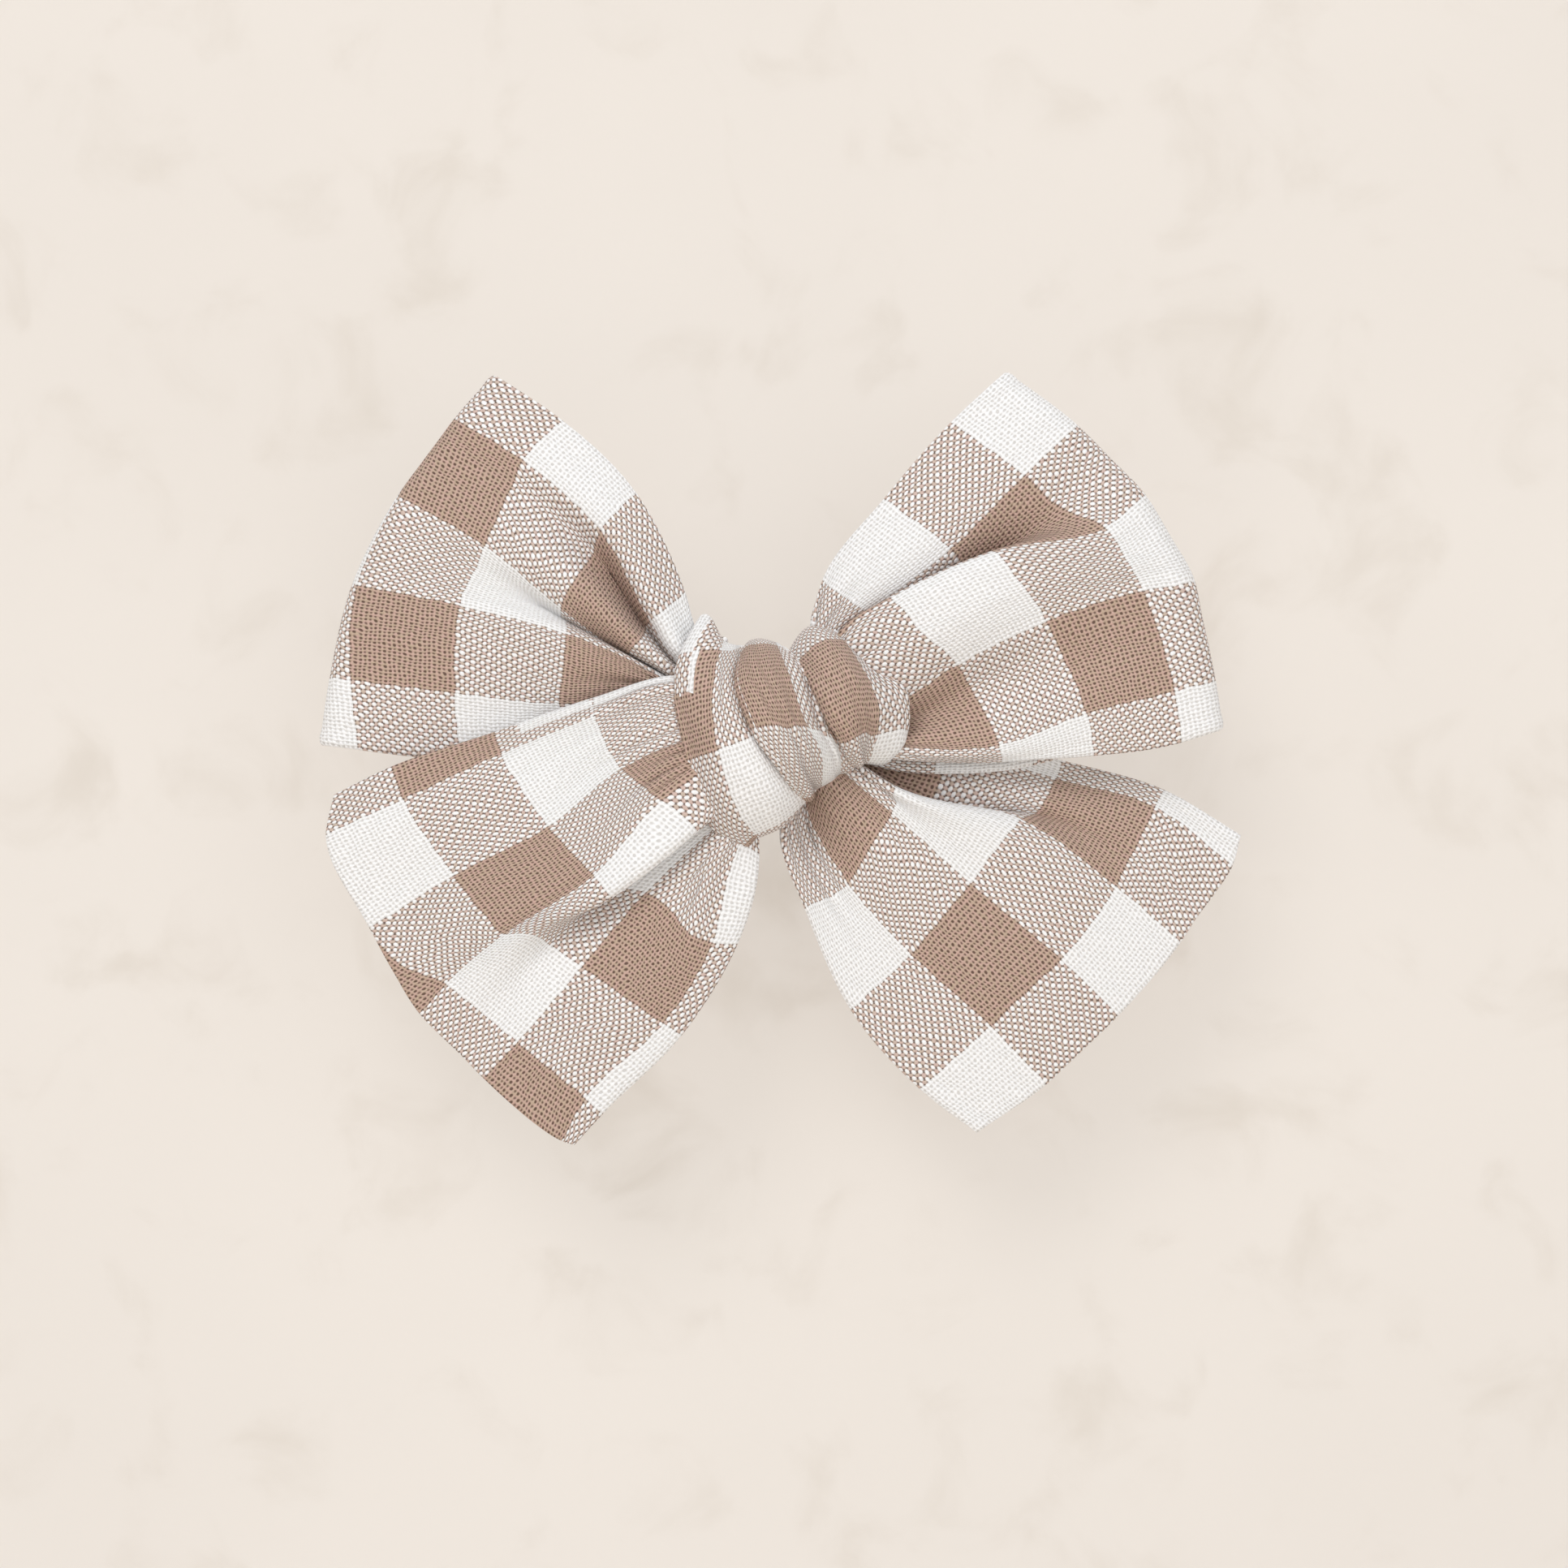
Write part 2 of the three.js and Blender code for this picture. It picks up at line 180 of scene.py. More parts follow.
@dataclass
class ClothSheet:
    """A sheet of cloth with two faces and rounded edges, made from its middle surface.

    points is across by along by (x, forward, z), in millimetres from the knot's middle. half_thick is
    across by along, 0 on an open edge. weave holds each point's place in the check pattern, and has one
    more column than points on a ring.
    """

    name: str
    points: np.ndarray
    half_thick: np.ndarray
    weave: np.ndarray
    ring: bool = False
    hems: tuple[Hem, ...] = ()
    across: np.ndarray = field(default_factory=lambda: np.zeros(0))

    def jump(self, row: int, column: int) -> np.ndarray:
        moved = np.zeros(2)
        for hem in self.hems:
            inside = hem.start < (self.across[row] + self.across[row + 1]) / 2 < hem.end
            if inside and self.weave[row, column, 0] > hem.above:
                moved += hem.jump
        return moved

    def normals(self) -> np.ndarray:
        """The middle surface's unit normals."""
        along = (
            np.roll(self.points, -1, axis=1) - np.roll(self.points, 1, axis=1)
            if self.ring
            else np.gradient(self.points, axis=1)
        )
        across = np.gradient(self.points, axis=0)
        normal = np.cross(along, across)
        return normal / np.maximum(np.linalg.norm(normal, axis=2, keepdims=True), 1e-9)

    def build(self, outward: float) -> bpy.types.Object:
        """Makes the mesh, with its weave as a UV map.

        Args:
            outward: 1 or -1, the side of the middle surface that is the outer face.

        Returns:
            The finished object, at the origin.
        """
        rows, columns, _ = self.points.shape
        offset = self.normals() * self.half_thick[..., None] * outward
        outer_points = (self.points + offset).reshape(-1, 3)
        inner_points = (self.points - offset).reshape(-1, 3)
        closed = (self.half_thick < 1e-6).reshape(-1)
        outer = np.arange(rows * columns)
        inner = np.where(closed, outer, 0)
        open_places = np.flatnonzero(~closed)
        inner[open_places] = rows * columns + np.arange(len(open_places))
        points = np.concatenate([outer_points, inner_points[open_places]])
        points = points * MM
        points[:, 1] = KNOT_MIDDLE_Y * MM - points[:, 1]
        last = columns if self.ring else columns - 1
        faces, weave = [], []
        for i in range(rows - 1):
            for j in range(last):
                k = (j + 1) % columns
                corners = [i * columns + j, (i + 1) * columns + j, (i + 1) * columns + k, i * columns + k]
                jump = self.jump(i, j)
                here, there = self.weave[i], self.weave[i + 1]
                places = [here[j], there[j], there[j + 1], here[j + 1]]
                for side, turned, moved in ((outer, outward < 0, jump), (inner, outward > 0, LINING_SHIFT)):
                    face = [int(side[c]) for c in corners]
                    spots = [place + moved for place in places]
                    if turned:
                        face.reverse()
                        spots.reverse()
                    faces.append(face)
                    weave.extend(spots)
        mesh = bpy.data.meshes.new(self.name)
        mesh.from_pydata([tuple(p) for p in points], [], faces)
        layer = mesh.uv_layers.new(name="weave")
        layer.data.foreach_set("uv", np.array(weave, np.float32).reshape(-1))
        mesh.validate()
        mesh.update()
        made = bpy.data.objects.new(self.name, mesh)
        bpy.context.scene.collection.objects.link(made)
        make_smooth(made)
        return made


def make_smooth(made: bpy.types.Object) -> None:
    """Shades every face of a mesh smooth."""
    made.data.polygons.foreach_set("use_smooth", [True] * len(made.data.polygons))
    made.data.update()


# ---------------------------------------------------------------- finishes


class NodeMaker:
    """Adds nodes to a tree from left to right, with short calls."""

    def __init__(self, tree: bpy.types.NodeTree) -> None:
        """Starts on a tree."""
        self.tree = tree

    def add(self, kind: str, **settings: object) -> bpy.types.Node:
        """A new node with its settings."""
        node = self.tree.nodes.new(kind)
        for name, value in settings.items():
            setattr(node, name, value)
        return node

    def feed(self, socket: bpy.types.NodeSocket, value: object) -> None:
        """Links a socket to its input, or sets the input's number."""
        if isinstance(value, bpy.types.NodeSocket):
            self.tree.links.new(value, socket)
        else:
            socket.default_value = value

    def sum(self, operation: str, *values: object) -> bpy.types.NodeSocket:
        """One Math node's result."""
        node = self.add("ShaderNodeMath", operation=operation)
        for socket, value in zip(node.inputs, values):
            self.feed(socket, value)
        return node.outputs[0]

    def blend(self, share: object, first: object, second: object) -> bpy.types.NodeSocket:
        """A colour between two others."""
        node = self.add("ShaderNodeMix", data_type="RGBA")
        self.feed(node.inputs["Factor"], share)
        colours = [socket for socket in node.inputs if socket.type == "RGBA"]
        self.feed(colours[0], first)
        self.feed(colours[1], second)
        return next(socket for socket in node.outputs if socket.type == "RGBA")

    def noise(self, place: object, scale: float, detail: float = 2.0) -> bpy.types.NodeSocket:
        """A noise texture's value, from 0 to 1."""
        node = self.add("ShaderNodeTexNoise")
        node.inputs["Scale"].default_value = scale
        node.inputs["Detail"].default_value = detail
        self.feed(node.inputs["Vector"], place)
        return node.outputs[0]


def new_group(
    name: str, inputs: Sequence[tuple[str, str, object]], outputs: Sequence[tuple[str, str]]
) -> tuple[bpy.types.NodeTree, NodeMaker, bpy.types.Node, bpy.types.Node]:
    """A new shader node group.

    Args:
        name: The group's name.
        inputs: Each input's name, socket type and starting value.
        outputs: Each output's name and socket type.

    Returns:
        The group, its maker, its input node and its output node.
    """
    group = bpy.data.node_groups.new(name, "ShaderNodeTree")
    for label, kind, value in inputs:
        socket = group.interface.new_socket(name=label, in_out="INPUT", socket_type=kind)
        if value is not None:
            socket.default_value = value
    for label, kind in outputs:
        group.interface.new_socket(name=label, in_out="OUTPUT", socket_type=kind)
    maker = NodeMaker(group)
    return group, maker, maker.add("NodeGroupInput"), maker.add("NodeGroupOutput")


def plain_weave_group() -> bpy.types.NodeTree:
    """The node group that draws a plain weave of dyed and undyed threads in checks.

    Returns:
        A group that turns a place on the cloth, in millimetres, into a colour and a height.
    """
    group, make, given, out = new_group(
        "plain weave",
        [
            ("Place", "NodeSocketVector", None),
            ("Check Along", "NodeSocketFloat", 12.0),
            ("Check Across", "NodeSocketFloat", 11.2),
            ("Threads Along", "NodeSocketFloat", 21.0),
            ("Threads Across", "NodeSocketFloat", 26.0),
            ("Undyed", "NodeSocketColor", (0.8, 0.8, 0.8, 1)),
            ("Dyed", "NodeSocketColor", (0.4, 0.3, 0.2, 1)),
            ("Dyed Pink", "NodeSocketColor", (0.45, 0.3, 0.25, 1)),
            ("Shadow", "NodeSocketColor", (0.2, 0.15, 0.1, 1)),
            ("Pale Shadow", "NodeSocketColor", (0.6, 0.6, 0.6, 1)),
            ("Hole Depth", "NodeSocketFloat", 0.85),
        ],
        [("Color", "NodeSocketColor"), ("Height", "NodeSocketFloat"), ("Fibre", "NodeSocketFloat")],
    )
    uneven = make.add("ShaderNodeTexNoise", noise_dimensions="2D")
    uneven.inputs["Scale"].default_value = 0.45
    uneven.inputs["Detail"].default_value = 2.0
    make.feed(uneven.inputs["Vector"], given.outputs["Place"])
    split = make.add("ShaderNodeSeparateXYZ")
    make.feed(split.inputs[0], given.outputs["Place"])
    drift = make.sum("MULTIPLY_ADD", uneven.outputs[0], 0.5, -0.25)
    sides = []
    ways = (("X", "Check Along", "Threads Along"), ("Y", "Check Across", "Threads Across"))
    for axis, check, threads in ways:
        place = make.sum("ADD", split.outputs[axis], drift)
        turns = make.sum("DIVIDE", place, given.outputs[check])
        thread = make.sum("MULTIPLY", turns, given.outputs[threads])
        angle = make.sum("MULTIPLY", thread, math.pi)
        centre = make.sum("DIVIDE", make.sum("ADD", make.sum("FLOOR", thread), 0.5), given.outputs[threads])
        dyed = make.sum("LESS_THAN", make.sum("FRACT", make.sum("MULTIPLY", centre, 0.5)), 0.5)
        sides.append((make.sum("SINE", angle), make.sum("COSINE", angle), dyed))
    (wave_i, turn_i, dyed_i), (wave_j, turn_j, dyed_j) = sides
    over = make.sum("MULTIPLY", wave_i, wave_j)


    def plain_float(wave_across: object, wave_along: object, side: object) -> bpy.types.NodeSocket:
        """The oval patch that a thread shows where it passes over its neighbour."""
        slim = make.sum("POWER", make.sum("ABSOLUTE", wave_across), 1.1)
        long = make.sum("POWER", make.sum("ABSOLUTE", wave_along), 0.3)
        shape = make.sum("MULTIPLY", make.sum("MULTIPLY", slim, long), make.sum("GREATER_THAN", side, 0.0))
        node = make.add("ShaderNodeMapRange", interpolation_type="SMOOTHSTEP")
        node.inputs["From Min"].default_value = 0.0
        node.inputs["From Max"].default_value = 0.42
        make.feed(node.inputs["Value"], shape)
        return node.outputs[0]

    undyed_i = make.sum("SUBTRACT", 1.0, dyed_i)
    undyed_j = make.sum("SUBTRACT", 1.0, dyed_j)
    shown_i = make.sum("MULTIPLY", undyed_i, plain_float(wave_i, wave_j, over))
    shown_j = make.sum("MULTIPLY", undyed_j, plain_float(wave_j, wave_i, make.sum("MULTIPLY", over, -1.0)))
    both = make.sum("MULTIPLY", undyed_i, undyed_j)
    plain = make.sum("MAXIMUM", both, make.sum("MAXIMUM", shown_i, shown_j))
    dyed = make.sum("SUBTRACT", 1.0, plain)
    corner = make.sum("MULTIPLY", turn_i, turn_j)
    gap = make.sum("MAXIMUM", corner, make.sum("MULTIPLY", corner, -0.72))
    hole = make.add("ShaderNodeMapRange", interpolation_type="SMOOTHSTEP")
    hole.inputs["From Min"].default_value = 0.22
    hole.inputs["From Max"].default_value = 0.78
    make.feed(hole.inputs["Value"], gap)
    height = make.sum("ABSOLUTE", over)
    fibre = make.add("ShaderNodeTexNoise", noise_dimensions="2D")
    fibre.inputs["Scale"].default_value = 3.1
    fibre.inputs["Detail"].default_value = 3.0
    make.feed(fibre.inputs["Vector"], given.outputs["Place"])
    yarn = make.add("ShaderNodeTexNoise", noise_dimensions="2D")
    yarn.inputs["Scale"].default_value = 1.9
    yarn.inputs["Detail"].default_value = 1.0
    make.feed(yarn.inputs["Vector"], given.outputs["Place"])
    tint = make.add("ShaderNodeMapRange")
    tint.inputs["From Min"].default_value = 0.35
    tint.inputs["From Max"].default_value = 0.65
    make.feed(tint.inputs["Value"], yarn.outputs[0])
    thick_dye = make.blend(tint.outputs[0], given.outputs["Dyed"], given.outputs["Dyed Pink"])
    lone = make.sum("ABSOLUTE", make.sum("SUBTRACT", dyed_i, dyed_j))
    dye = make.blend(make.sum("MULTIPLY", lone, 0.17), thick_dye, given.outputs["Undyed"])
    cloth = make.blend(dyed, given.outputs["Undyed"], dye)
    painted_shade = make.blend(dyed, given.outputs["Pale Shadow"], given.outputs["Shadow"])
    colour = make.blend(make.sum("MULTIPLY", hole.outputs[0], given.outputs["Hole Depth"]), cloth, painted_shade)
    tone = make.sum("MULTIPLY_ADD", fibre.outputs[0], 0.2, 0.9)
    tinted = make.add("ShaderNodeMix", data_type="RGBA", blend_type="MULTIPLY")
    tinted.inputs["Factor"].default_value = 1.0
    make.feed(tinted.inputs[6], colour)
    grey = make.add("ShaderNodeCombineColor")
    for socket in grey.inputs:
        make.feed(socket, tone)
    make.feed(tinted.inputs[7], grey.outputs[0])
    make.feed(out.inputs["Color"], tinted.outputs[2])
    make.feed(out.inputs["Height"], height)
    make.feed(out.inputs["Fibre"], fibre.outputs[0])
    return group


def wear_group() -> bpy.types.NodeTree:
    """The node group of fine scratches and cloudiness on metal and glue.

    Returns:
        A group that turns an Object coordinate into a cloud value and a height.
    """
    group, make, given, out = new_group(
        "handling marks",
        [
            ("Place", "NodeSocketVector", None),
            ("Cloud Scale", "NodeSocketFloat", 180.0),
            ("Scratch Scale", "NodeSocketFloat", 900.0),
        ],
        [("Cloud", "NodeSocketFloat"), ("Height", "NodeSocketFloat")],
    )
    cloud = make.add("ShaderNodeTexNoise")
    cloud.inputs["Detail"].default_value = 3.0
    make.feed(cloud.inputs["Vector"], given.outputs["Place"])
    make.feed(cloud.inputs["Scale"], given.outputs["Cloud Scale"])
    stretch = make.add("ShaderNodeMapping")
    stretch.inputs["Scale"].default_value = (0.06, 1, 1)
    make.feed(stretch.inputs["Vector"], given.outputs["Place"])
    scratch = make.add("ShaderNodeTexNoise")
    scratch.inputs["Detail"].default_value = 2.0
    make.feed(scratch.inputs["Vector"], stretch.outputs[0])
    make.feed(scratch.inputs["Scale"], given.outputs["Scratch Scale"])
    make.feed(out.inputs["Cloud"], cloud.outputs[0])
    make.feed(out.inputs["Height"], scratch.outputs[0])
    return group


class Groups:
    """The shared node groups, made once."""

    def __init__(self) -> None:
        """Makes every group."""
        self.weave = plain_weave_group()
        self.wear = wear_group()


def new_material(name: str) -> tuple[bpy.types.Material, NodeMaker, bpy.types.Node]:
    """A material with only its Principled BSDF.

    Args:
        name: The material's name.

    Returns:
        The material, a maker on its tree, and the BSDF.
    """
    material = bpy.data.materials.new(name)
    material.use_nodes = True
    make = NodeMaker(material.node_tree)
    return material, make, material.node_tree.nodes["Principled BSDF"]


def bumped(make: NodeMaker, bsdf: bpy.types.Node, height: object, distance: float, strength: float) -> None:
    """Feeds a height to a BSDF's normal through one Bump node."""
    bump = make.add("ShaderNodeBump")
    bump.inputs["Strength"].default_value = strength
    bump.inputs["Distance"].default_value = distance
    make.feed(bump.inputs["Height"], height)
    make.feed(bsdf.inputs["Normal"], bump.outputs[0])


@dataclass(frozen=True)
class CheckedCloth:
    """Brown and white checked plain weave, matt, with open pinholes between its threads."""

    undyed: tuple[float, float, float, float] = (0.92, 0.925, 0.935, 1)
    dyed: tuple[float, float, float, float] = (0.52, 0.395, 0.3, 1)
    dyed_pink: tuple[float, float, float, float] = (0.58, 0.4, 0.34, 1)
    shadow: tuple[float, float, float, float] = (0.07, 0.035, 0.024, 1)
    pale_shadow: tuple[float, float, float, float] = (0.6, 0.585, 0.57, 1)

    def material(self, groups: Groups) -> bpy.types.Material:
        """The cloth's material, which follows the piece's own weave map."""
        material, make, bsdf = new_material("checked cloth")
        place = make.add("ShaderNodeUVMap", uv_map="weave")
        weave = make.add("ShaderNodeGroup", node_tree=groups.weave)
        make.feed(weave.inputs["Place"], place.outputs[0])
        for label, value in (
            ("Undyed", self.undyed),
            ("Dyed", self.dyed),
            ("Dyed Pink", self.dyed_pink),
            ("Shadow", self.shadow),
            ("Pale Shadow", self.pale_shadow),
        ):
            make.feed(weave.inputs[label], value)
        make.feed(bsdf.inputs["Base Color"], weave.outputs["Color"])
        make.feed(bsdf.inputs["Roughness"], make.sum("MULTIPLY_ADD", weave.outputs["Fibre"], 0.12, 0.82))
        bsdf.inputs["Specular IOR Level"].default_value = 0.2
        bsdf.inputs["Sheen Weight"].default_value = 0.12
        bsdf.inputs["Sheen Roughness"].default_value = 0.5
        bumped(make, bsdf, weave.outputs["Height"], 0.00012, 0.75)
        return material


@dataclass(frozen=True)
class RibbedRibbon:
    """Cream ribbon with fine ribs across it."""

    colour: tuple[float, float, float, float] = (0.84, 0.79, 0.7, 1)
    ribs_per_metre: float = 1700.0

    def material(self, groups: Groups) -> bpy.types.Material:
        """The ribbon's material, ribbed along its own map, with painted shade in the troughs between the
        ribs.
        """
        material, make, bsdf = new_material("ribbed ribbon")
        place = make.add("ShaderNodeUVMap", uv_map="weave")
        split = make.add("ShaderNodeSeparateXYZ")
        make.feed(split.inputs[0], place.outputs[0])
        turn = make.sum("MULTIPLY", split.outputs["X"], self.ribs_per_metre * MM * 2 * math.pi)
        rib = make.sum("MULTIPLY_ADD", make.sum("SINE", turn), 0.5, 0.5)
        fine = make.sum("SINE", make.sum("MULTIPLY", split.outputs["Y"], 34.0))
        height = make.sum("MULTIPLY_ADD", fine, 0.12, rib)
        red, green, blue, _ = self.colour
        # Painted shade: the base colour is darkened in the troughs between the ribs.
        painted_shade = make.blend(rib, (red * 0.7, green * 0.68, blue * 0.64, 1), self.colour)
        make.feed(bsdf.inputs["Base Color"], painted_shade)
        bsdf.inputs["Roughness"].default_value = 0.62
        bsdf.inputs["Sheen Weight"].default_value = 0.2
        bumped(make, bsdf, height, 0.00008, 0.8)
        return material


@dataclass(frozen=True)
class TwistedThread:
    """Twisted cotton thread."""

    colour: tuple[float, float, float, float] = (0.85, 0.81, 0.72, 1)

    def material(self, groups: Groups) -> bpy.types.Material:
        """The thread's material, with its plies running round it and painted shade in the grooves between
        them.
        """
        material, make, bsdf = new_material("twisted thread")
        place = make.add("ShaderNodeTexCoord")
        wave = make.add("ShaderNodeTexWave", wave_type="BANDS", bands_direction="DIAGONAL")
        wave.inputs["Scale"].default_value = 420.0
        wave.inputs["Distortion"].default_value = 0.6
        make.feed(wave.inputs["Vector"], place.outputs["Object"])
        # Painted shade: the thread's colour darkened in the grooves between its plies.
        painted_groove_shade = tuple(c * 0.62 for c in self.colour[:3]) + (1,)
        make.feed(bsdf.inputs["Base Color"], make.blend(wave.outputs[1], painted_groove_shade, self.colour))
        bsdf.inputs["Roughness"].default_value = 0.8
        bumped(make, bsdf, wave.outputs[1], 0.00006, 0.8)
        return material


@dataclass(frozen=True)
class SetGlue:
    """Cloudy hot-melt glue, smooth and a little waxy."""

    colour: tuple[float, float, float, float] = (0.8, 0.76, 0.64, 1)

    def material(self, groups: Groups) -> bpy.types.Material:
        """The glue's material."""
        material, make, bsdf = new_material("set glue")
        place = make.add("ShaderNodeTexCoord")
        wear = make.add("ShaderNodeGroup", node_tree=groups.wear)
        make.feed(wear.inputs["Place"], place.outputs["Object"])
        wear.inputs["Cloud Scale"].default_value = 350.0
        pale = tuple(min(1.0, c * 1.12) for c in self.colour[:3]) + (1,)
        make.feed(bsdf.inputs["Base Color"], make.blend(wear.outputs["Cloud"], self.colour, pale))
        make.feed(bsdf.inputs["Roughness"], make.sum("MULTIPLY_ADD", wear.outputs["Cloud"], 0.3, 0.25))
        bsdf.inputs["Subsurface Weight"].default_value = 0.25
        bsdf.inputs["Subsurface Radius"].default_value = (0.002, 0.0018, 0.0014)
        bumped(make, bsdf, wear.outputs["Cloud"], 0.0003, 0.5)
        return material


@dataclass(frozen=True)
class PlatedSteel:
    """Pressed or drawn steel with a bright nickel plate, dulled by handling."""

    name: str
    colour: tuple[float, float, float, float]
    dull: tuple[float, float, float, float]
    roughness: float
    scratch_scale: float = 900.0

    def material(self, groups: Groups) -> bpy.types.Material:
        """The metal's material."""
        material, make, bsdf = new_material(self.name)
        place = make.add("ShaderNodeTexCoord")
        wear = make.add("ShaderNodeGroup", node_tree=groups.wear)
        make.feed(wear.inputs["Place"], place.outputs["Object"])
        wear.inputs["Scratch Scale"].default_value = self.scratch_scale
        make.feed(bsdf.inputs["Base Color"], make.blend(wear.outputs["Cloud"], self.dull, self.colour))
        bsdf.inputs["Metallic"].default_value = 1.0
        rough = make.sum("MULTIPLY_ADD", wear.outputs["Cloud"], 0.22, self.roughness)
        make.feed(bsdf.inputs["Roughness"], rough)
        bumped(make, bsdf, wear.outputs["Height"], 0.00003, 0.35)
        return material


class Wardrobe:
    """Every finish of the bow and its clip, made once and put on pieces by slot."""

    def __init__(self) -> None:
        """Makes the shared groups and the materials."""
        groups = Groups()
        finishes = {
            Slot.CLOTH: CheckedCloth(),
            Slot.RIBBON: RibbedRibbon(),
            Slot.THREAD: TwistedThread(),
            Slot.GLUE: SetGlue(),
            Slot.CLIP: PlatedSteel("nickel plate", (0.78, 0.77, 0.76, 1), (0.62, 0.61, 0.6, 1), 0.2),
            Slot.SPRING: PlatedSteel("spring wire", (0.6, 0.6, 0.61, 1), (0.42, 0.42, 0.43, 1), 0.28, 2200.0),
        }
        self.materials = {slot: finish.material(groups) for slot, finish in finishes.items()}

    def dress(self, made: bpy.types.Object, slot: Slot) -> bpy.types.Object:
        """Puts a slot's material on a piece."""
        made.data.materials.clear()
        made.data.materials.append(self.materials[slot])
        return made

    def dress_node(self, node: bpy.types.Object, slot: Slot) -> None:
        """Puts a slot's material on a CAD node."""
        for place in node.material_slots:
            place.material = self.materials[slot]


# ---------------------------------------------------------------- the bow's strip


@dataclass(frozen=True)
class ClothLine:
    """A thread of the strip from a lobe's outer edge to the knot.

    across is its place across the strip. Each point is (along, x, z, forward): its place along the
    strip, where it lies seen from the front, and how far it stands in front of the knot's middle.
    """

    across: float
    points: tuple[tuple[float, float, float, float], ...]

    def sample(self, share: np.ndarray) -> np.ndarray:
        """The line at shares of its length from the outer edge, as rows of x, z, forward and along."""
        rows = np.array(self.points)
        along = rows[0, 0] + share * (rows[-1, 0] - rows[0, 0])
        return np.column_stack([smooth_through(rows[:, 0], rows[:, 1:], along), along])


@dataclass(frozen=True)
class Lobe:
    """A loop or a tail of the strip, from its outer edge into the knot."""

    name: str
    lay: Lay
    lines: tuple[ClothLine, ...]
    check_start: tuple[float, float]
    flat: tuple[float, float]
    rests_on: tuple[str, ...]
    back: tuple[float, float] = (0.0, 0.0)
    hems: tuple[Hem, ...] = ()
    seed: float = 0.0
    step: float = 0.5
    edge_round: float = 0.45
    fold_round: float = 2.0
    seam_inset: float = 1.0
    seam_spread: float = 0.55
    seam_rise: float = 0.3
    draw: tuple[float, float] = (0.16, 0.75)
    swell: float = 0.3
    rear_size: float = 0.965
    held_length: float = 9.0

    def front(self, across: np.ndarray, share: np.ndarray) -> np.ndarray:
        """The front wall.

        Args:
            across: Places across the strip.
            share: Shares of the way from the outer edge to the knot.

        Returns:
            Across by along by x, z, forward and place along the strip.
        """
        sampled = np.array([line.sample(share) for line in self.lines])
        wall = smooth_through([line.across for line in self.lines], sampled, across)
        return self.puckered(wall, across, share)

    def puckered(self, wall: np.ndarray, across: np.ndarray, share: np.ndarray) -> np.ndarray:
        """The wall with the small draws that run out of the knot.

        Args:
            wall: The smooth wall, changed in place.
            across: Places across the strip, for its rows.
            share: Shares of the way to the knot, for its columns.

        Returns:
            The same wall.
        """
        pull = self.draw[0] + self.draw[1] * smooth_step((share - 0.55) / 0.45)
        for i, t in enumerate(across):
            for j, u in enumerate(share):
                drawn = noise.noise(Vector((t * 0.42, u * 2.1, self.seed)))
                soft = noise.noise(Vector((t * 0.11, u * 4.3, self.seed + 9)))
                wall[i, j, 2] += pull[j] * drawn + self.swell * soft
        return wall

    def back_wall(self, front: np.ndarray, across: np.ndarray, share: np.ndarray, run: float) -> np.ndarray:
        """The loop's back wall: smoother than the front, and just inside its outline.

        Args:
            front: The front wall.
            across: Places across the strip, for its rows.
            share: Shares of the way to the knot, for its columns.
            run: The wall's length.

        Returns:
            The back wall, laid out as the front.
        """
        flat = np.empty_like(front)
        middle = across - across.mean()
        for axis in (0, 1):
            fit = np.polyfit(middle, front[:, :, axis], 2)
            flat[:, :, axis] = np.polyval(fit[:, None, :], middle[:, None])
        centre = flat[:, :, :2].mean(axis=0, keepdims=True)
        flat[:, :, :2] = centre + (flat[:, :, :2] - centre) * self.rear_size
        start, end = self.back
        lean = start + (end - start) * share
        flat[:, :, 2] = lean[None, :] + 0.25 * (front[:, :, 2] - front[:, :, 2].mean(axis=0, keepdims=True))
        held = 1 - smooth_step(share * run / self.held_length)
        flat[:, :, :2] = flat[:, :, :2] * (1 - held)[None, :, None] + front[:, :, :2] * held[None, :, None]
        flat[:, :, 3] = 2 * front[:, :1, 3] - front[:, :, 3]
        return flat

    def folded(self, front: np.ndarray, across: np.ndarray, places: np.ndarray) -> np.ndarray:
        """A loop's whole wall, from the knot along the front, round the fold and along the back.

        Args:
            front: The front wall, which is bent back to the fold in place.
            across: Places across the strip, for its rows.
            places: Distances in from the fold, for its columns.

        Returns:
            The wall, with the fold at its middle column.
        """
        run = places[-1]
        back = self.back_wall(front, across, places / run, run)
        open_share = round_off(np.minimum(places, run / 2), run, self.fold_round)[None, :]
        middle = (front[:, :, 2] + back[:, :, 2]) / 2
        gap = (front[:, :, 2] - back[:, :, 2]) / 2
        front[:, :, 2] = middle + gap * open_share
        back[:, :, 2] = middle - gap * open_share
        return np.concatenate([front[:, ::-1], back[:, 1:]], axis=1)

    def follow_fold(self, weave: np.ndarray, points: np.ndarray, places: np.ndarray) -> None:
        """Keeps the threads' true spacing round the fold at a loop's outer edge.

        Args:
            weave: The places in the check pattern, changed in place.
            points: The wall's points, with the fold at their middle column.
            places: Distances in from the fold, for the front wall's columns.
        """
        steps = np.linalg.norm(np.diff(points, axis=1), axis=2)
        fold = len(places) - 1
        reach = int(np.searchsorted(places, 2 * self.fold_round))
        inner = weave[:, fold + reach, 0].copy()
        for column in range(fold - reach + 1, fold + reach + 1):
            weave[:, column, 0] = weave[:, column - 1, 0] - steps[:, column - 1]
        moved = weave[:, fold + reach, 0] - inner
        weave[:, fold + reach + 1 :, 0] += moved[:, None]

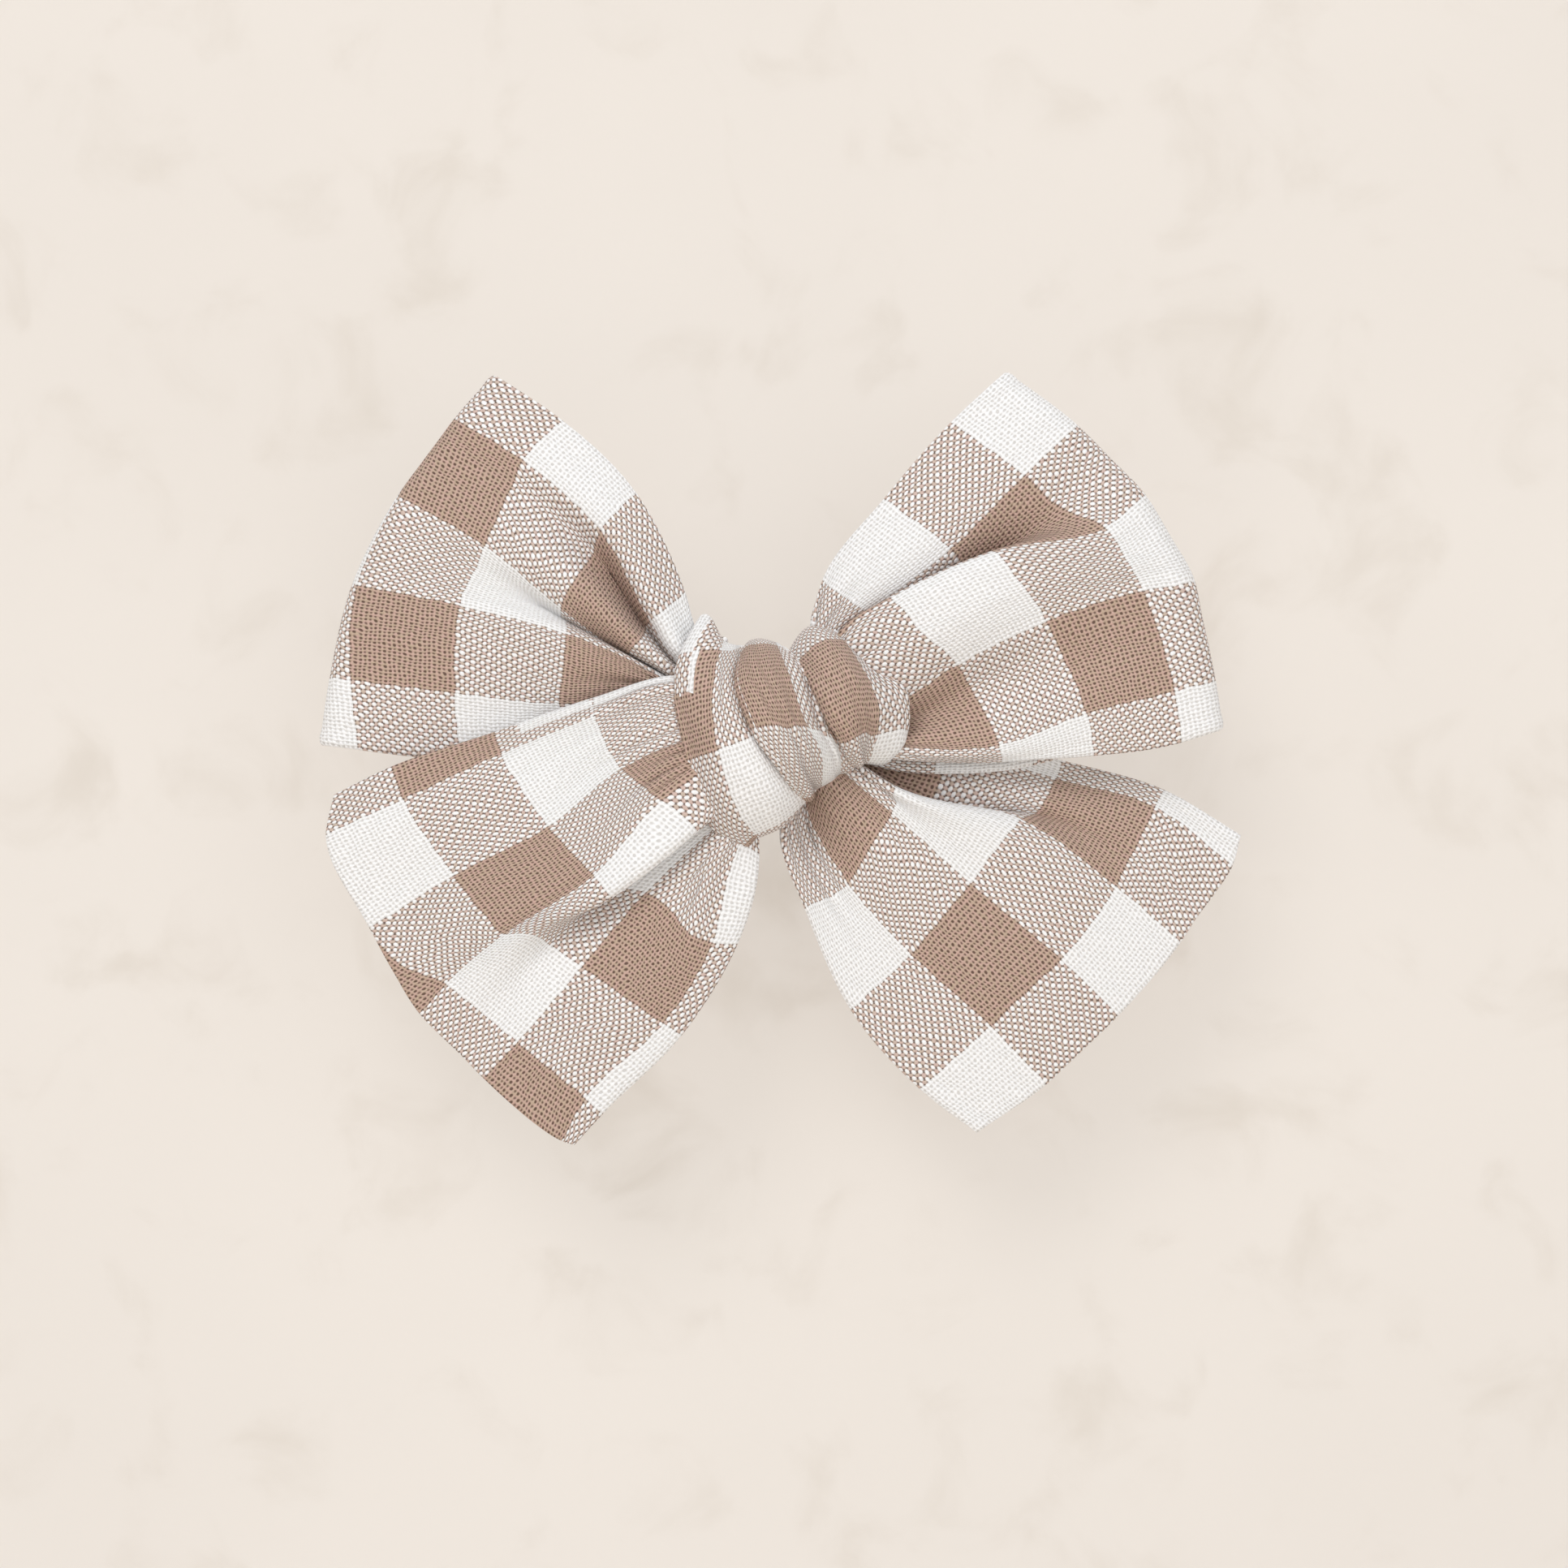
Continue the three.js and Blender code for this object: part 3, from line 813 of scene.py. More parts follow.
    def build(self) -> bpy.types.Object:
        """Makes the lobe's mesh."""
        width = self.lines[-1].across
        run = float(np.mean([line.points[-1][0] - line.points[0][0] for line in self.lines]))
        across = edge_spacing(width, self.step, self.edge_round, self.edge_round)
        is_loop = self.lay is Lay.LOOP
        outer_round = self.fold_round if is_loop else self.edge_round
        places = edge_spacing(run, self.step, outer_round, self.edge_round)
        share = places / run
        front = self.front(across, share)
        thick = round_off(across, width, self.edge_round)[:, None] * np.ones((1, len(share)))
        if is_loop:
            wall = self.folded(front, across, places)
            ends = np.minimum(run - places, self.edge_round)
            nose = round_off(ends, 2 * self.edge_round, self.edge_round)
            thick = thick[:, :1] * np.concatenate([nose[::-1], nose[1:]])[None, :]
        else:
            wall = front[:, ::-1]
            thick = thick * round_off(places, run, self.edge_round)[::-1][None, :]
        points = wall[:, :, [0, 2, 1]]
        weave = np.stack(
            [wall[:, :, 3] - self.check_start[0], across[:, None] - self.check_start[1] + 0 * wall[:, :, 3]],
            axis=2,
        )
        inward = (np.minimum(across, width - across) - self.seam_inset) / self.seam_spread
        ridge = 1 + self.seam_rise * np.exp(-(inward**2))
        if is_loop:
            self.follow_fold(weave, points, places)
        half_thick = thick * ridge[:, None] * STRIP_THICK / 2
        sheet = ClothSheet(self.name, points, half_thick, weave, False, self.hems, across)
        facing = sheet.normals()[len(across) // 2, len(share) // 2, 1]
        return sheet.build(1.0 if facing > 0 else -1.0)


def cloth_line(across: float, *points: tuple[float, float, float, float]) -> ClothLine:
    """A cloth line from its points."""
    return ClothLine(across, tuple(points))


UPPER_LEFT = Lobe(
    "upper_left_loop",
    Lay.LOOP,
    (
        cloth_line(
            0,
            (2.9, -34.1, 41.1, -1), (12, -26.3, 35.8, -0.5), (24, -18.0, 27.6, -0.5),
            (36, -12.4, 16.3, -0.5), (41, -11.0, 11.7, -0.5), (45, -9.3, 8.3, -0.5),
        ),
        cloth_line(
            6.4,
            (2.8, -38.6, 35.9, -0.3), (12, -30.7, 31.1, 0.5), (24, -21.7, 23.2, 1.2),
            (36, -16.0, 13.1, 1.1), (42, -12.8, 8.3, 0.8), (45.5, -10.2, 6.2, 0.4),
        ),
        cloth_line(
            9.5,
            (2.4, -40.3, 33.6, -0.3), (12, -31.9, 28.6, 0.3), (24, -22.9, 20.8, -1.4),
            (36, -17.0, 12.3, -3.0), (42, -13.1, 7.7, -2.9), (46, -10.4, 5.4, -1.6),
        ),
        cloth_line(
            13,
            (1.8, -42.3, 30.9, 0), (12, -33.3, 25.4, 0.8), (24, -24.5, 18.0, 2.3),
            (36, -17.6, 10.5, 2.7), (42, -13.6, 7.1, 1.9), (46, -10.5, 4.7, 0.8),
        ),
        cloth_line(
            17.6,
            (0.5, -45.0, 27.2, 0), (12, -35.0, 21.5, 1), (24, -26.2, 14.6, 1.2),
            (36, -18.8, 9.3, -0.8), (42, -13.9, 6.5, -1.2), (46, -10.5, 3.8, -0.5),
        ),
        cloth_line(
            20.5,
            (0.2, -46.6, 24.6, -0.2), (12, -35.8, 19.7, 0.5), (24, -26.2, 13.6, -0.8),
            (36, -18.8, 8.5, -2), (42, -13.9, 5.9, -1.8), (46, -10.5, 3.1, -1),
        ),
        cloth_line(
            28.8,
            (-0.5, -50.2, 17.1, -0.5), (12, -37.9, 14.6, 0.6), (24, -25.8, 11.3, 1.6),
            (36, -15.7, 6.7, 1.2), (40, -12.4, 4.7, 0.4), (43.5, -10.2, 2.2, 0),
        ),
        cloth_line(
            40,
            (-2.4, -52.8, 6.5, -1), (12, -38.5, 4.8, 0), (24, -26.6, 3.6, 0),
            (35, -16.0, 4.4, -0.3), (38, -13.0, 3.1, -0.5), (41, -10.5, 1.0, -0.5),
        ),
        cloth_line(
            47.6,
            (-4.5, -54.0, -1.2, -1.5), (12, -38.1, -2.7, -1), (24, -26.8, -1.2, -1),
            (34, -17.3, 2.2, -1), (38, -13.6, 1.6, -1), (41.5, -10.8, 0.1, -1),
        ),
    ),
    check_start=(0, 6.4),
    flat=(0.0476, 0.0886),
    rests_on=("knot_left_pleat",),
    back=(-5.4, -4.6),
    seed=3.7,
)

UPPER_RIGHT = Lobe(
    "upper_right_loop",
    Lay.LOOP,
    (
        cloth_line(
            0,
            (-7.9, 23.9, 41.1, 1.5), (0, 17.8, 35.4, 1.5), (12, 10.2, 26.7, 1.8),
            (24, 3.2, 17.4, 2.2), (28.5, 2.2, 13.4, 2.2), (34, 2.1, 8.0, 2),
        ),
        cloth_line(
            10.2,
            (-8.3, 32.0, 34.9, 2.5), (0, 26.0, 29.2, 3.2), (12, 17.6, 21.0, 3.2),
            (24, 8.0, 13.9, 2.5), (28, 5.0, 11.6, 2.2), (33, 2.7, 7.0, 2),
        ),
        cloth_line(
            16,
            (-7.6, 35.8, 31.1, 2.5), (0, 30.4, 25.5, 2.6), (12, 20.5, 18.2, 0),
            (24, 10.0, 12.7, -0.5), (28.5, 5.9, 10.2, 0.5), (33.5, 3.0, 6.1, 1),
        ),
        cloth_line(
            21.2,
            (-7, 39.5, 27.2, 2.8), (0, 34.9, 23.2, 4.2), (12, 22.5, 20.2, 5.2),
            (24, 11.0, 15.0, 5.2), (30, 5.8, 11.6, 4.5), (35, 2.7, 7.0, 3),
        ),
        cloth_line(
            26.8,
            (-6.5, 42.5, 22.3, 2.8), (0, 37.3, 19.8, 4), (12, 25.6, 16.7, 5.6),
            (24, 14.2, 11.6, 5.8), (32, 7.5, 8.0, 5), (37, 3.0, 4.8, 3.5),
        ),
        cloth_line(
            32.4,
            (-6.1, 45.2, 17.4, 2.6), (0, 39.3, 16.4, 3.4), (12, 28.3, 13.0, 4),
            (24, 18.3, 8.2, 3.2), (33, 10.7, 3.5, 2.5), (40, 4.3, 1.6, 2),
        ),
        cloth_line(
            36,
            (-5.6, 46.0, 13.7, 2.4), (0, 40.8, 12.7, 2.8), (12, 30.1, 9.6, 2.4),
            (24, 19.9, 5.7, 0.8), (33, 11.3, 1.9, 0.2), (40, 4.3, 0.6, 0.5),
        ),
        cloth_line(
            43.8,
            (-4.7, 47.6, 6.1, 2.2), (0, 43.0, 4.9, 2.6), (12, 33.1, 2.4, 2.6),
            (24, 23.2, -1.2, 2.4), (36, 12.0, -1.6, 1.8), (43, 4.6, -0.6, 1.5),
        ),
        cloth_line(
            49.5,
            (-4.5, 48.5, 0.5, 1.8), (0, 44.0, -0.9, 1.8), (12, 34.1, -2.4, 1.4),
            (24, 23.6, -2.9, 1.2), (35, 12.0, -2.5, 1), (42, 5.0, -1.6, 1),
        ),
    ),
    check_start=(0, 10.2),
    flat=(0.0495, 0.088),
    rests_on=("knot_right_pleat",),
    back=(-1.9, -0.9),
    seed=11.3,
)

LOWER_LEFT = Lobe(
    "lower_left_tail",
    Lay.TAIL,
    (
        cloth_line(
            0,
            (4.7, -52.1, -6.8, 2), (12, -45.5, -3.6, 2.2), (24, -33.8, 0.3, 2.4),
            (36, -22.6, 4.1, 2.6), (46, -12.9, 6.4, 2.8), (52, -7.7, 5.2, 2.5),
        ),
        cloth_line(
            4.8,
            (2.2, -53.0, -11.3, 2), (12, -44.1, -7.3, 2.8), (24, -33.1, -2.2, 3),
            (36, -22.4, 2.1, 3.2), (46, -13.3, 5.3, 3.4), (52, -7.7, 4.1, 3),
        ),
        cloth_line(
            16.1,
            (0.5, -48.1, -21.9, 1.8), (12, -38.3, -15.9, 3.2), (24, -27.6, -10.4, 4),
            (36, -19.4, -3.9, 3.8), (44, -12.6, -0.9, 4), (50, -7.0, -0.3, 3),
        ),
        cloth_line(
            21.7,
            (-1.5, -45.4, -26.9, 1.8), (12, -35.7, -19.3, 3.6), (24, -25.0, -13.3, 4.6),
            (36, -17.0, -5.9, 4.6), (43, -11.6, -2.9, 4.4), (48, -7.0, -1.8, 3.2),
        ),
        cloth_line(
            27.3,
            (-4.7, -42.4, -31.7, 1.6), (0, -39.3, -28.2, 2), (12, -32.5, -22.5, 4),
            (24, -22.4, -15.9, 5.2), (36, -14.8, -7.5, 5.2), (41, -10.7, -4.6, 4.6),
            (46, -6.6, -3.3, 3.2),
        ),
        cloth_line(
            30.8,
            (-5, -40.2, -34.0, 1.5), (0, -36.8, -30.2, 2), (12, -29.6, -22.3, 4.2),
            (24, -20.7, -18.0, 5.6), (36, -11.1, -10.5, 5.4), (40, -9.0, -8.5, 4.8),
            (44, -6.2, -5.1, 3.5),
        ),
        cloth_line(
            34.5,
            (-5.4, -37.8, -36.3, 1.4), (0, -34.2, -32.4, 1.6), (12, -27.8, -23.7, 1.8),
            (24, -20.7, -17.2, 1.2), (36, -12.6, -10.3, 1.5), (40, -9.4, -8.5, 2),
            (44, -6.2, -5.9, 2.2),
        ),
        cloth_line(
            38.5,
            (-5.7, -35.2, -39.0, 1.4), (0, -31.3, -34.8, 1.8), (12, -23.9, -26.3, 2.4),
            (24, -16.6, -18.0, 2.6), (34.5, -9.4, -11.1, 2.6), (38, -7.4, -9.2, 2.6),
            (42, -5.5, -6.3, 2.4),
        ),
        cloth_line(
            49.7,
            (-5.6, -26.4, -46.1, 1.2), (0, -23.6, -41.2, 1.6), (12, -14.8, -32.6, 2.2),
            (24, -9.3, -23.5, 2.4), (34, -7.0, -14.1, 2.2), (36.5, -6.1, -11.8, 2.2),
            (41, -4.4, -7.4, 2),
        ),
        cloth_line(
            52.4,
            (-4.9, -24.9, -46.6, 1), (0, -21.6, -43.0, 1.2), (12, -12.7, -34.1, 1.4),
            (24, -6.3, -23.6, 1.4), (35, -3.9, -14.4, 1.2), (38, -3.9, -11.6, 1.2),
            (43, -3.4, -7.0, 1.2),
        ),
    ),
    check_start=(12, 16.1),
    hems=(
        Hem(0, 2.3, 15, (0, CHECK_ACROSS)),
        Hem(0, 2.3, 24, (CHECK_ALONG, 0)),
        Hem(2.3, 4.9, 24, (0, CHECK_ACROSS)),
    ),
    flat=(0.0524, 0.0492),
    rests_on=("upper_left_loop",),
    seed=20.1,
)

LOWER_RIGHT = Lobe(
    "lower_right_tail",
    Lay.TAIL,
    (
        cloth_line(
            0,
            (-8.7, 21.0, -45.6, -3), (0, 14.4, -40.5, -2.6), (12, 6.5, -31.4, -1.6),
            (24, 1.2, -19.7, -0.4), (32, -1.4, -12.3, 0.4), (38, -0.6, -6.8, 0.4),
        ),
        cloth_line(
            10.2,
            (-9.4, 29.0, -40.0, -3), (0, 22.5, -33.2, -2), (12, 13.4, -24.9, -1),
            (24, 6.3, -16.8, -1.2), (34, 1.8, -8.3, -2.4), (38.5, 1.2, -3.9, -2),
        ),
        cloth_line(
            15,
            (-9.4, 32.5, -36.7, -3), (0, 25.9, -29.9, -1.8), (12, 16.2, -21.6, -0.4),
            (24, 8.4, -13.4, 0.4), (32, 3.4, -6.5, 0.2), (36, 2.0, -2.8, -0.5),
        ),
        cloth_line(
            21.4,
            (-9.4, 37.2, -32.2, -3.2), (0, 30.5, -25.6, -1.8), (12, 20.1, -16.9, -0.2),
            (24, 11.2, -8.8, 0.8), (31, 6.4, -4.6, 0.5), (35, 3.8, -2.1, -0.5),
        ),
        cloth_line(
            32.6,
            (-10, 44.4, -23.8, -3.6), (0, 36.8, -17.3, -2.4), (12, 25.8, -9.9, -1),
            (24, 12.3, -6.8, -0.2), (30, 7.4, -3.7, -1), (34, 4.5, -1.3, -1.5),
        ),
        cloth_line(
            36,
            (-10.2, 46.2, -21.1, -3.8), (0, 38.1, -14.7, -2.8), (12, 27.4, -9.3, -3),
            (24, 14.8, -8.7, -4), (31, 8.2, -4.6, -3.5), (35, 4.5, -1.0, -3),
        ),
        cloth_line(
            40,
            (-10.6, 48.4, -18.2, -4), (0, 39.8, -11.6, -3), (12, 28.8, -7.3, -2.4),
            (24, 16.9, -5.0, -3.6), (32, 8.9, -2.4, -4), (36, 4.9, -0.2, -3.6),
        ),
        cloth_line(
            43.6,
            (-11, 50.4, -15.2, -4.2), (0, 41.3, -8.5, -3.6), (12, 30.0, -5.3, -3.6),
            (24, 18.0, -1.7, -4.4), (32, 10.4, -0.2, -4.6), (37, 5.6, 0.5, -4.2),
        ),
        cloth_line(
            47.4,
            (-10, 51.5, -11.5, -4.6), (0, 42.6, -6.3, -4.4), (12, 30.8, -2.9, -4.6),
            (24, 19.1, 0.1, -5), (32, 11.1, 1.2, -5), (37, 6.0, 1.2, -4.8),
        ),
    ),
    check_start=(0, 10.2),
    flat=(0.0474, 0.046),
    rests_on=("upper_right_loop",),
    seed=31.9,
)


# ---------------------------------------------------------------- the knot


@dataclass(frozen=True)
class KnotAxis:
    """The line that the knot and the waist go round, which leans to the right."""

    centre: tuple[float, float] = (-0.6, 1.5)
    lean: float = math.radians(20)

    def measured(self, spots: np.ndarray) -> tuple[np.ndarray, np.ndarray]:
        """How far along and how far up from the axis each (x, z) spot is."""
        axis = np.array([math.cos(self.lean), math.sin(self.lean)])
        away = np.asarray(spots) - np.array(self.centre)
        return away @ axis, away @ np.array([-axis[1], axis[0]])

    def placed(self, along: np.ndarray, up: np.ndarray) -> tuple[np.ndarray, np.ndarray]:
        """The x and z of places along and up from the axis."""
        x = self.centre[0] + along * math.cos(self.lean) - up * math.sin(self.lean)
        z = self.centre[1] + along * math.sin(self.lean) + up * math.cos(self.lean)
        return x, z


KNOT_AXIS = KnotAxis()


@dataclass(frozen=True)
class KnotLine:
    """A thread of the knot's strip, which goes right round the waist.

    across is its place across the strip, crown how far it stands forward at its highest, and band the
    height at which the check changes on it. points are (x, z) down the front, from top to bottom.
    """

    across: float
    crown: float
    band: float
    points: tuple[tuple[float, float], ...]


# Past a pleat's long edge: how far across the strip, how far outwards along the knot, how far inwards.
ROLLED_TURNS = ((0.8, 0.45, 0.4), (1.8, 0.5, 1.5), (3.0, -0.4, 2.7), (4.4, -1.8, 3.3))
TUCKED_TURNS = ((1.6, 1.3, 0.7), (3.4, 2.6, 2.3), (5.0, 3.2, 4.6))


@dataclass(frozen=True)
class KnotPleat:
    """One pleat of the knot's strip, as a ring of cloth round the waist."""

    name: str
    lines: tuple[KnotLine, ...]
    left: Edge
    right: Edge
    flat: tuple[float, float]
    hems: tuple[Hem, ...] = ()
    back: float = 8.6
    check_start: float = 16.0
    turns: int = 150

    def ring(self, line: KnotLine, angle: np.ndarray, shift: float = 0.0, sink: float = 0.0) -> np.ndarray:
        """A line's ring as rows of along-knot, up, forward and distance from the band, above it positive.

        Args:
            line: The thread.
            angle: Turns from the middle of the back over the top and down the front, in radians.
            shift: How far it is moved along the knot.
            sink: How much smaller the ring is.

        Returns:
            One row for each angle.
        """
        a, b = KNOT_AXIS.measured(np.array(line.points))
        order = np.argsort(b)
        a, b = a[order], b[order]
        middle, radius = (b[0] + b[-1]) / 2, (b[-1] - b[0]) / 2
        height = np.sin(angle)
        forward = -np.cos(angle)
        seen = forward >= 0
        row = np.empty((len(angle), 4))
        place = np.clip(middle + radius * height, b[0], b[-1])
        in_front = smooth_through(b, a[:, None], place)[:, 0]
        behind = a[0] + (a[-1] - a[0]) * (height + 1) / 2
        row[:, 0] = np.where(seen, in_front, behind) + shift
        row[:, 1] = middle + (radius - sink) * height
        lift = np.abs(forward) ** 0.85 * np.sign(forward)
        row[:, 2] = np.where(seen, (line.crown - sink) * lift, (self.back - sink) * lift)
        steps = np.linalg.norm(np.diff(row[:, :3], axis=0), axis=1)
        run = np.concatenate([[0], np.cumsum(steps)])
        down_front = np.flatnonzero(seen & (angle >= math.pi / 2))
        nearest = down_front[np.argmin(np.abs(row[down_front, 1] - self.band_height(line)))]
        row[:, 3] = run[nearest] - run
        return row

    def band_height(self, line: KnotLine) -> float:
        """How far up the knot the check changes on a line."""
        spots = np.array(line.points)
        order = np.argsort(spots[:, 1])
        x = float(np.interp(line.band, spots[order, 1], spots[order, 0]))
        return float(KNOT_AXIS.measured(np.array([x, line.band]))[1])

    def edge_rings(
        self, line: KnotLine, angle: np.ndarray, edge: Edge, side: int
    ) -> list[tuple[float, np.ndarray]]:
        """The rings past a long edge, from the edge outwards."""
        turns = ROLLED_TURNS if edge is Edge.ROLLED else TUCKED_TURNS
        return [
            (line.across + side * far, self.ring(line, angle, side * shift, sink))
            for far, shift, sink in turns
        ]

    def build(self) -> bpy.types.Object:
        """Makes the pleat's mesh."""
        angle = np.linspace(0, 2 * math.pi, self.turns + 1)
        rings = [(line.across, self.ring(line, angle)) for line in self.lines]
        rings = self.edge_rings(self.lines[0], angle, self.left, -1)[::-1] + rings
        rings += self.edge_rings(self.lines[-1], angle, self.right, 1)
        known = np.array([across for across, _ in rings])
        across = known[0] + edge_spacing(known[-1] - known[0], 0.35, 0.4, 0.4)
        grid = smooth_through(known, np.array([ring for _, ring in rings]), across)
        for i, t in enumerate(across):
            for j, turn in enumerate(angle):
                puff = noise.noise(Vector((t * 0.5, 2.2 * math.cos(turn), 2.2 * math.sin(turn) + t * 0.02)))
                grid[i, j, 2] += 0.28 * puff * abs(math.cos(turn))
        x, z = KNOT_AXIS.placed(grid[:, :, 0], grid[:, :, 1])
        points = np.stack([x, grid[:, :, 2], z], axis=2)[:, :-1]
        half = round_off(across - across[0], across[-1] - across[0], 0.4)[:, None] * np.ones((1, self.turns))
        weave = np.stack([grid[:, :, 3], across[:, None] - self.check_start + 0 * grid[:, :, 3]], axis=2)
        sheet = ClothSheet(self.name, points, half * STRIP_THICK / 2, weave, True, self.hems, across)
        facing = sheet.normals()[len(across) // 2, self.turns // 2, 1]
        return sheet.build(1.0 if facing > 0 else -1.0)


def knot_line(across: float, crown: float, band: float, *points: tuple[float, float]) -> KnotLine:
    """A knot line from its points."""
    return KnotLine(across, crown, band, tuple(points))


LEFT_PLEAT = KnotPleat(
    "knot_left_pleat",
    (
        knot_line(
            0, 5.0, -2.7,
            (-10.3, 13.2), (-12.4, 8.8), (-12.7, 4.8), (-11.9, 0.4), (-10.9, -4.1), (-9.7, -8.0),
            (-7.7, -11.3), (-5.5, -12.7),
        ),
        knot_line(
            4.8, 8.2, -1.9,
            (-8.2, 10.4), (-8.8, 6.1), (-8.8, 1.5), (-8.1, -2.5), (-7.1, -6.0), (-5.8, -9.2),
            (-4.2, -11.4),
        ),
        knot_line(
            8.5, 8.8, -0.7,
            (-6.7, 9.8), (-7.3, 6.1), (-6.4, 1.9), (-4.9, -1.4), (-3.3, -4.7), (-2.0, -7.6),
            (-1.3, -10.0),
        ),
        knot_line(
            12, 6.9, 0.2,
            (-5.6, 9.7), (-6.0, 6.6), (-4.9, 2.6), (-3.5, -0.1), (-1.0, -3.7), (1.3, -7.1),
        ),
    ),
    Edge.ROLLED,
    Edge.TUCKED,
    (0.0215, 0.058),
    hems=(
        Hem(-1.6, 1.5, 7.5, (0, CHECK_ACROSS)),
        Hem(1.5, 2.3, 7.5, (CHECK_ALONG, CHECK_ACROSS)),
    ),
)

MIDDLE_PLEAT = KnotPleat(
    "knot_middle_pleat",
    (
        knot_line(
            16, 10.2, 0.7,
            (-5.6, 9.3), (-5.9, 6.6), (-4.7, 2.6), (-3.5, -0.1), (-1.0, -3.7), (1.3, -7.1),
        ),
        knot_line(
            21.5, 10.5, 0.7,
            (-4.2, 10.5), (-3.3, 6.5), (-1.8, 3.0), (-0.9, 0.6), (0.7, -2.7), (2.0, -6.1),
        ),
        knot_line(
            27, 9.6, 0.8,
            (-2.2, 10.1), (-1.0, 7.0), (0.0, 3.9), (1.2, 0.7), (2.7, -2.1), (2.9, -5.6),
        ),
        knot_line(
            29.5, 8.6, 0.3,
            (-1.9, 10.0), (0.2, 7.2), (1.2, 4.2), (2.3, 0.7), (3.7, -2.0), (4.0, -5.0),
        ),
        knot_line(
            33.5, 4.5, 0.1,
            (-1.6, 9.6), (0.6, 7.0), (1.8, 4.2), (2.9, 0.5), (4.2, -2.1), (4.6, -4.5),
        ),
        knot_line(
            36.5, 7.8, -0.1,
            (-1.3, 9.6), (0.9, 7.0), (2.2, 4.1), (3.2, 0.4), (4.5, -2.1), (4.9, -4.2),
        ),
        knot_line(
            38, 7.6, -0.3,
            (-1.2, 9.6), (1.3, 7.0), (2.6, 4.1), (3.5, 0.4), (4.8, -2.1), (5.1, -4.1),
        ),
        knot_line(
            40.5, 5.8, -0.6,
            (-0.2, 8.8), (1.6, 7.4), (3.4, 4.1), (4.8, 1.2), (5.9, -1.4), (6.4, -3.7),
        ),
    ),
    Edge.ROLLED,
    Edge.TUCKED,
    (0.026, 0.04),
    hems=(Hem(11, 16, -60, (0, CHECK_ACROSS)),),
)

RIGHT_PLEAT = KnotPleat(
    "knot_right_pleat",
    (
        knot_line(
            40.5, 9.3, -0.7,
            (-0.4, 9.0), (1.3, 7.9), (2.9, 5.2), (4.4, 1.9), (6.0, -0.8), (7.1, -3.3),
        ),
        knot_line(
            45, 9.4, 0.2,
            (1.8, 11.9), (3.7, 9.8), (5.5, 6.6), (6.8, 3.4), (7.5, 0.1), (7.3, -3.0),
        ),
        knot_line(
            49.4, 7.6, 0.25,
            (4.6, 11.6), (6.6, 8.3), (8.1, 5.7), (9.1, 2.6), (9.0, 0.1), (8.2, -2.9),
        ),
        knot_line(
            53, 4.6, 0.6,
            (3.7, 12.5), (7.0, 9.2), (9.1, 7.0), (11.7, 4.8), (12.3, 2.3), (12.2, 0.1),
            (11.5, -1.8), (10.6, -2.7),
        ),
    ),
    Edge.ROLLED,
    Edge.ROLLED,
    (0.0213, 0.048),
)


# ---------------------------------------------------------------- inside and behind the knot


def wire(name: str, line: np.ndarray, radius: float) -> bpy.types.Object:
    """A round wire or thread with closed ends, as a mesh.

    Args:
        name: The piece's name.
        line: Its middle line, as rows of x, y and z in millimetres.
        radius: Its radius in millimetres.

    Returns:
        The finished object, at the origin.
    """
    bpy.ops.object.select_all(action="DESELECT")
    curve = bpy.data.curves.new(name, "CURVE")
    curve.dimensions = "3D"
    curve.bevel_depth = radius * MM
    curve.bevel_resolution = 3
    curve.use_fill_caps = True
    spline = curve.splines.new("POLY")
    spline.points.add(len(line) - 1)
    for point, place in zip(spline.points, line):
        point.co = (*(place * MM), 1.0)
    made = bpy.data.objects.new(name, curve)
    bpy.context.scene.collection.objects.link(made)
    made.select_set(True)
    bpy.context.view_layer.objects.active = made
    bpy.ops.object.convert(target="MESH")
    made = bpy.context.view_layer.objects.active
    make_smooth(made)
    made.select_set(False)
    return made


@dataclass(frozen=True)
class Waist:
    """The strip's waist, folded small like a fan inside the knot."""

    half_length: float = 8.0
    half_width: float = 4.3
    reach: float = 2.7
    folds: int = 4
    flat: tuple[float, float] = (0.046, 0.016)

    def build(self) -> bpy.types.Object:
        """Makes the folded waist."""
        fan = np.linspace(-1, 1, 161)
        along = np.linspace(-self.half_length, self.half_length, 49)
        pinch = 1 - 0.16 * np.exp(-((along / 1.8) ** 2))
        round_side = np.sqrt(1 - 0.55 * fan**2)
        up = self.half_width * fan[:, None] * pinch[None, :]
        pleated = np.sin(self.folds * math.pi * (fan + 1)) * round_side
        forward = self.reach * pleated[:, None] * pinch[None, :]
        x, z = KNOT_AXIS.placed(along[None, :], up)
        points = np.stack([x, forward, z], axis=2)
        run = np.concatenate([[0], np.cumsum(np.linalg.norm(np.diff(points[:, 24], axis=0), axis=1))])
        weave = np.stack([along[None, :] + 0 * run[:, None], run[:, None] + 0 * along[None, :]], axis=2)
        nose = round_off(along + self.half_length, 2 * self.half_length, 0.35)
        thick = round_off(run, run[-1], 0.35)[:, None] * nose
        return ClothSheet("cloth_bow_waist", points, thick * 0.28, weave).build(1.0)


@dataclass(frozen=True)
class CinchThread:
    """The thread wound tight round the waist."""

    radius: float = 5.05
    turns: float = 4.0
    pitch: float = 0.6
    half_thick: float = 0.25

    def build(self) -> bpy.types.Object:
        """Makes the winding round the waist."""
        turn = np.linspace(0, 2 * math.pi * self.turns, 150)
        along = self.pitch * self.turns * (turn / turn[-1] - 0.5)
        up, forward = self.radius * np.cos(turn) * 0.92, self.radius * np.sin(turn)
        x, z = KNOT_AXIS.placed(along, up)
        return wire("wound_thread", np.column_stack([x, KNOT_MIDDLE_Y - forward, z]), self.half_thick)


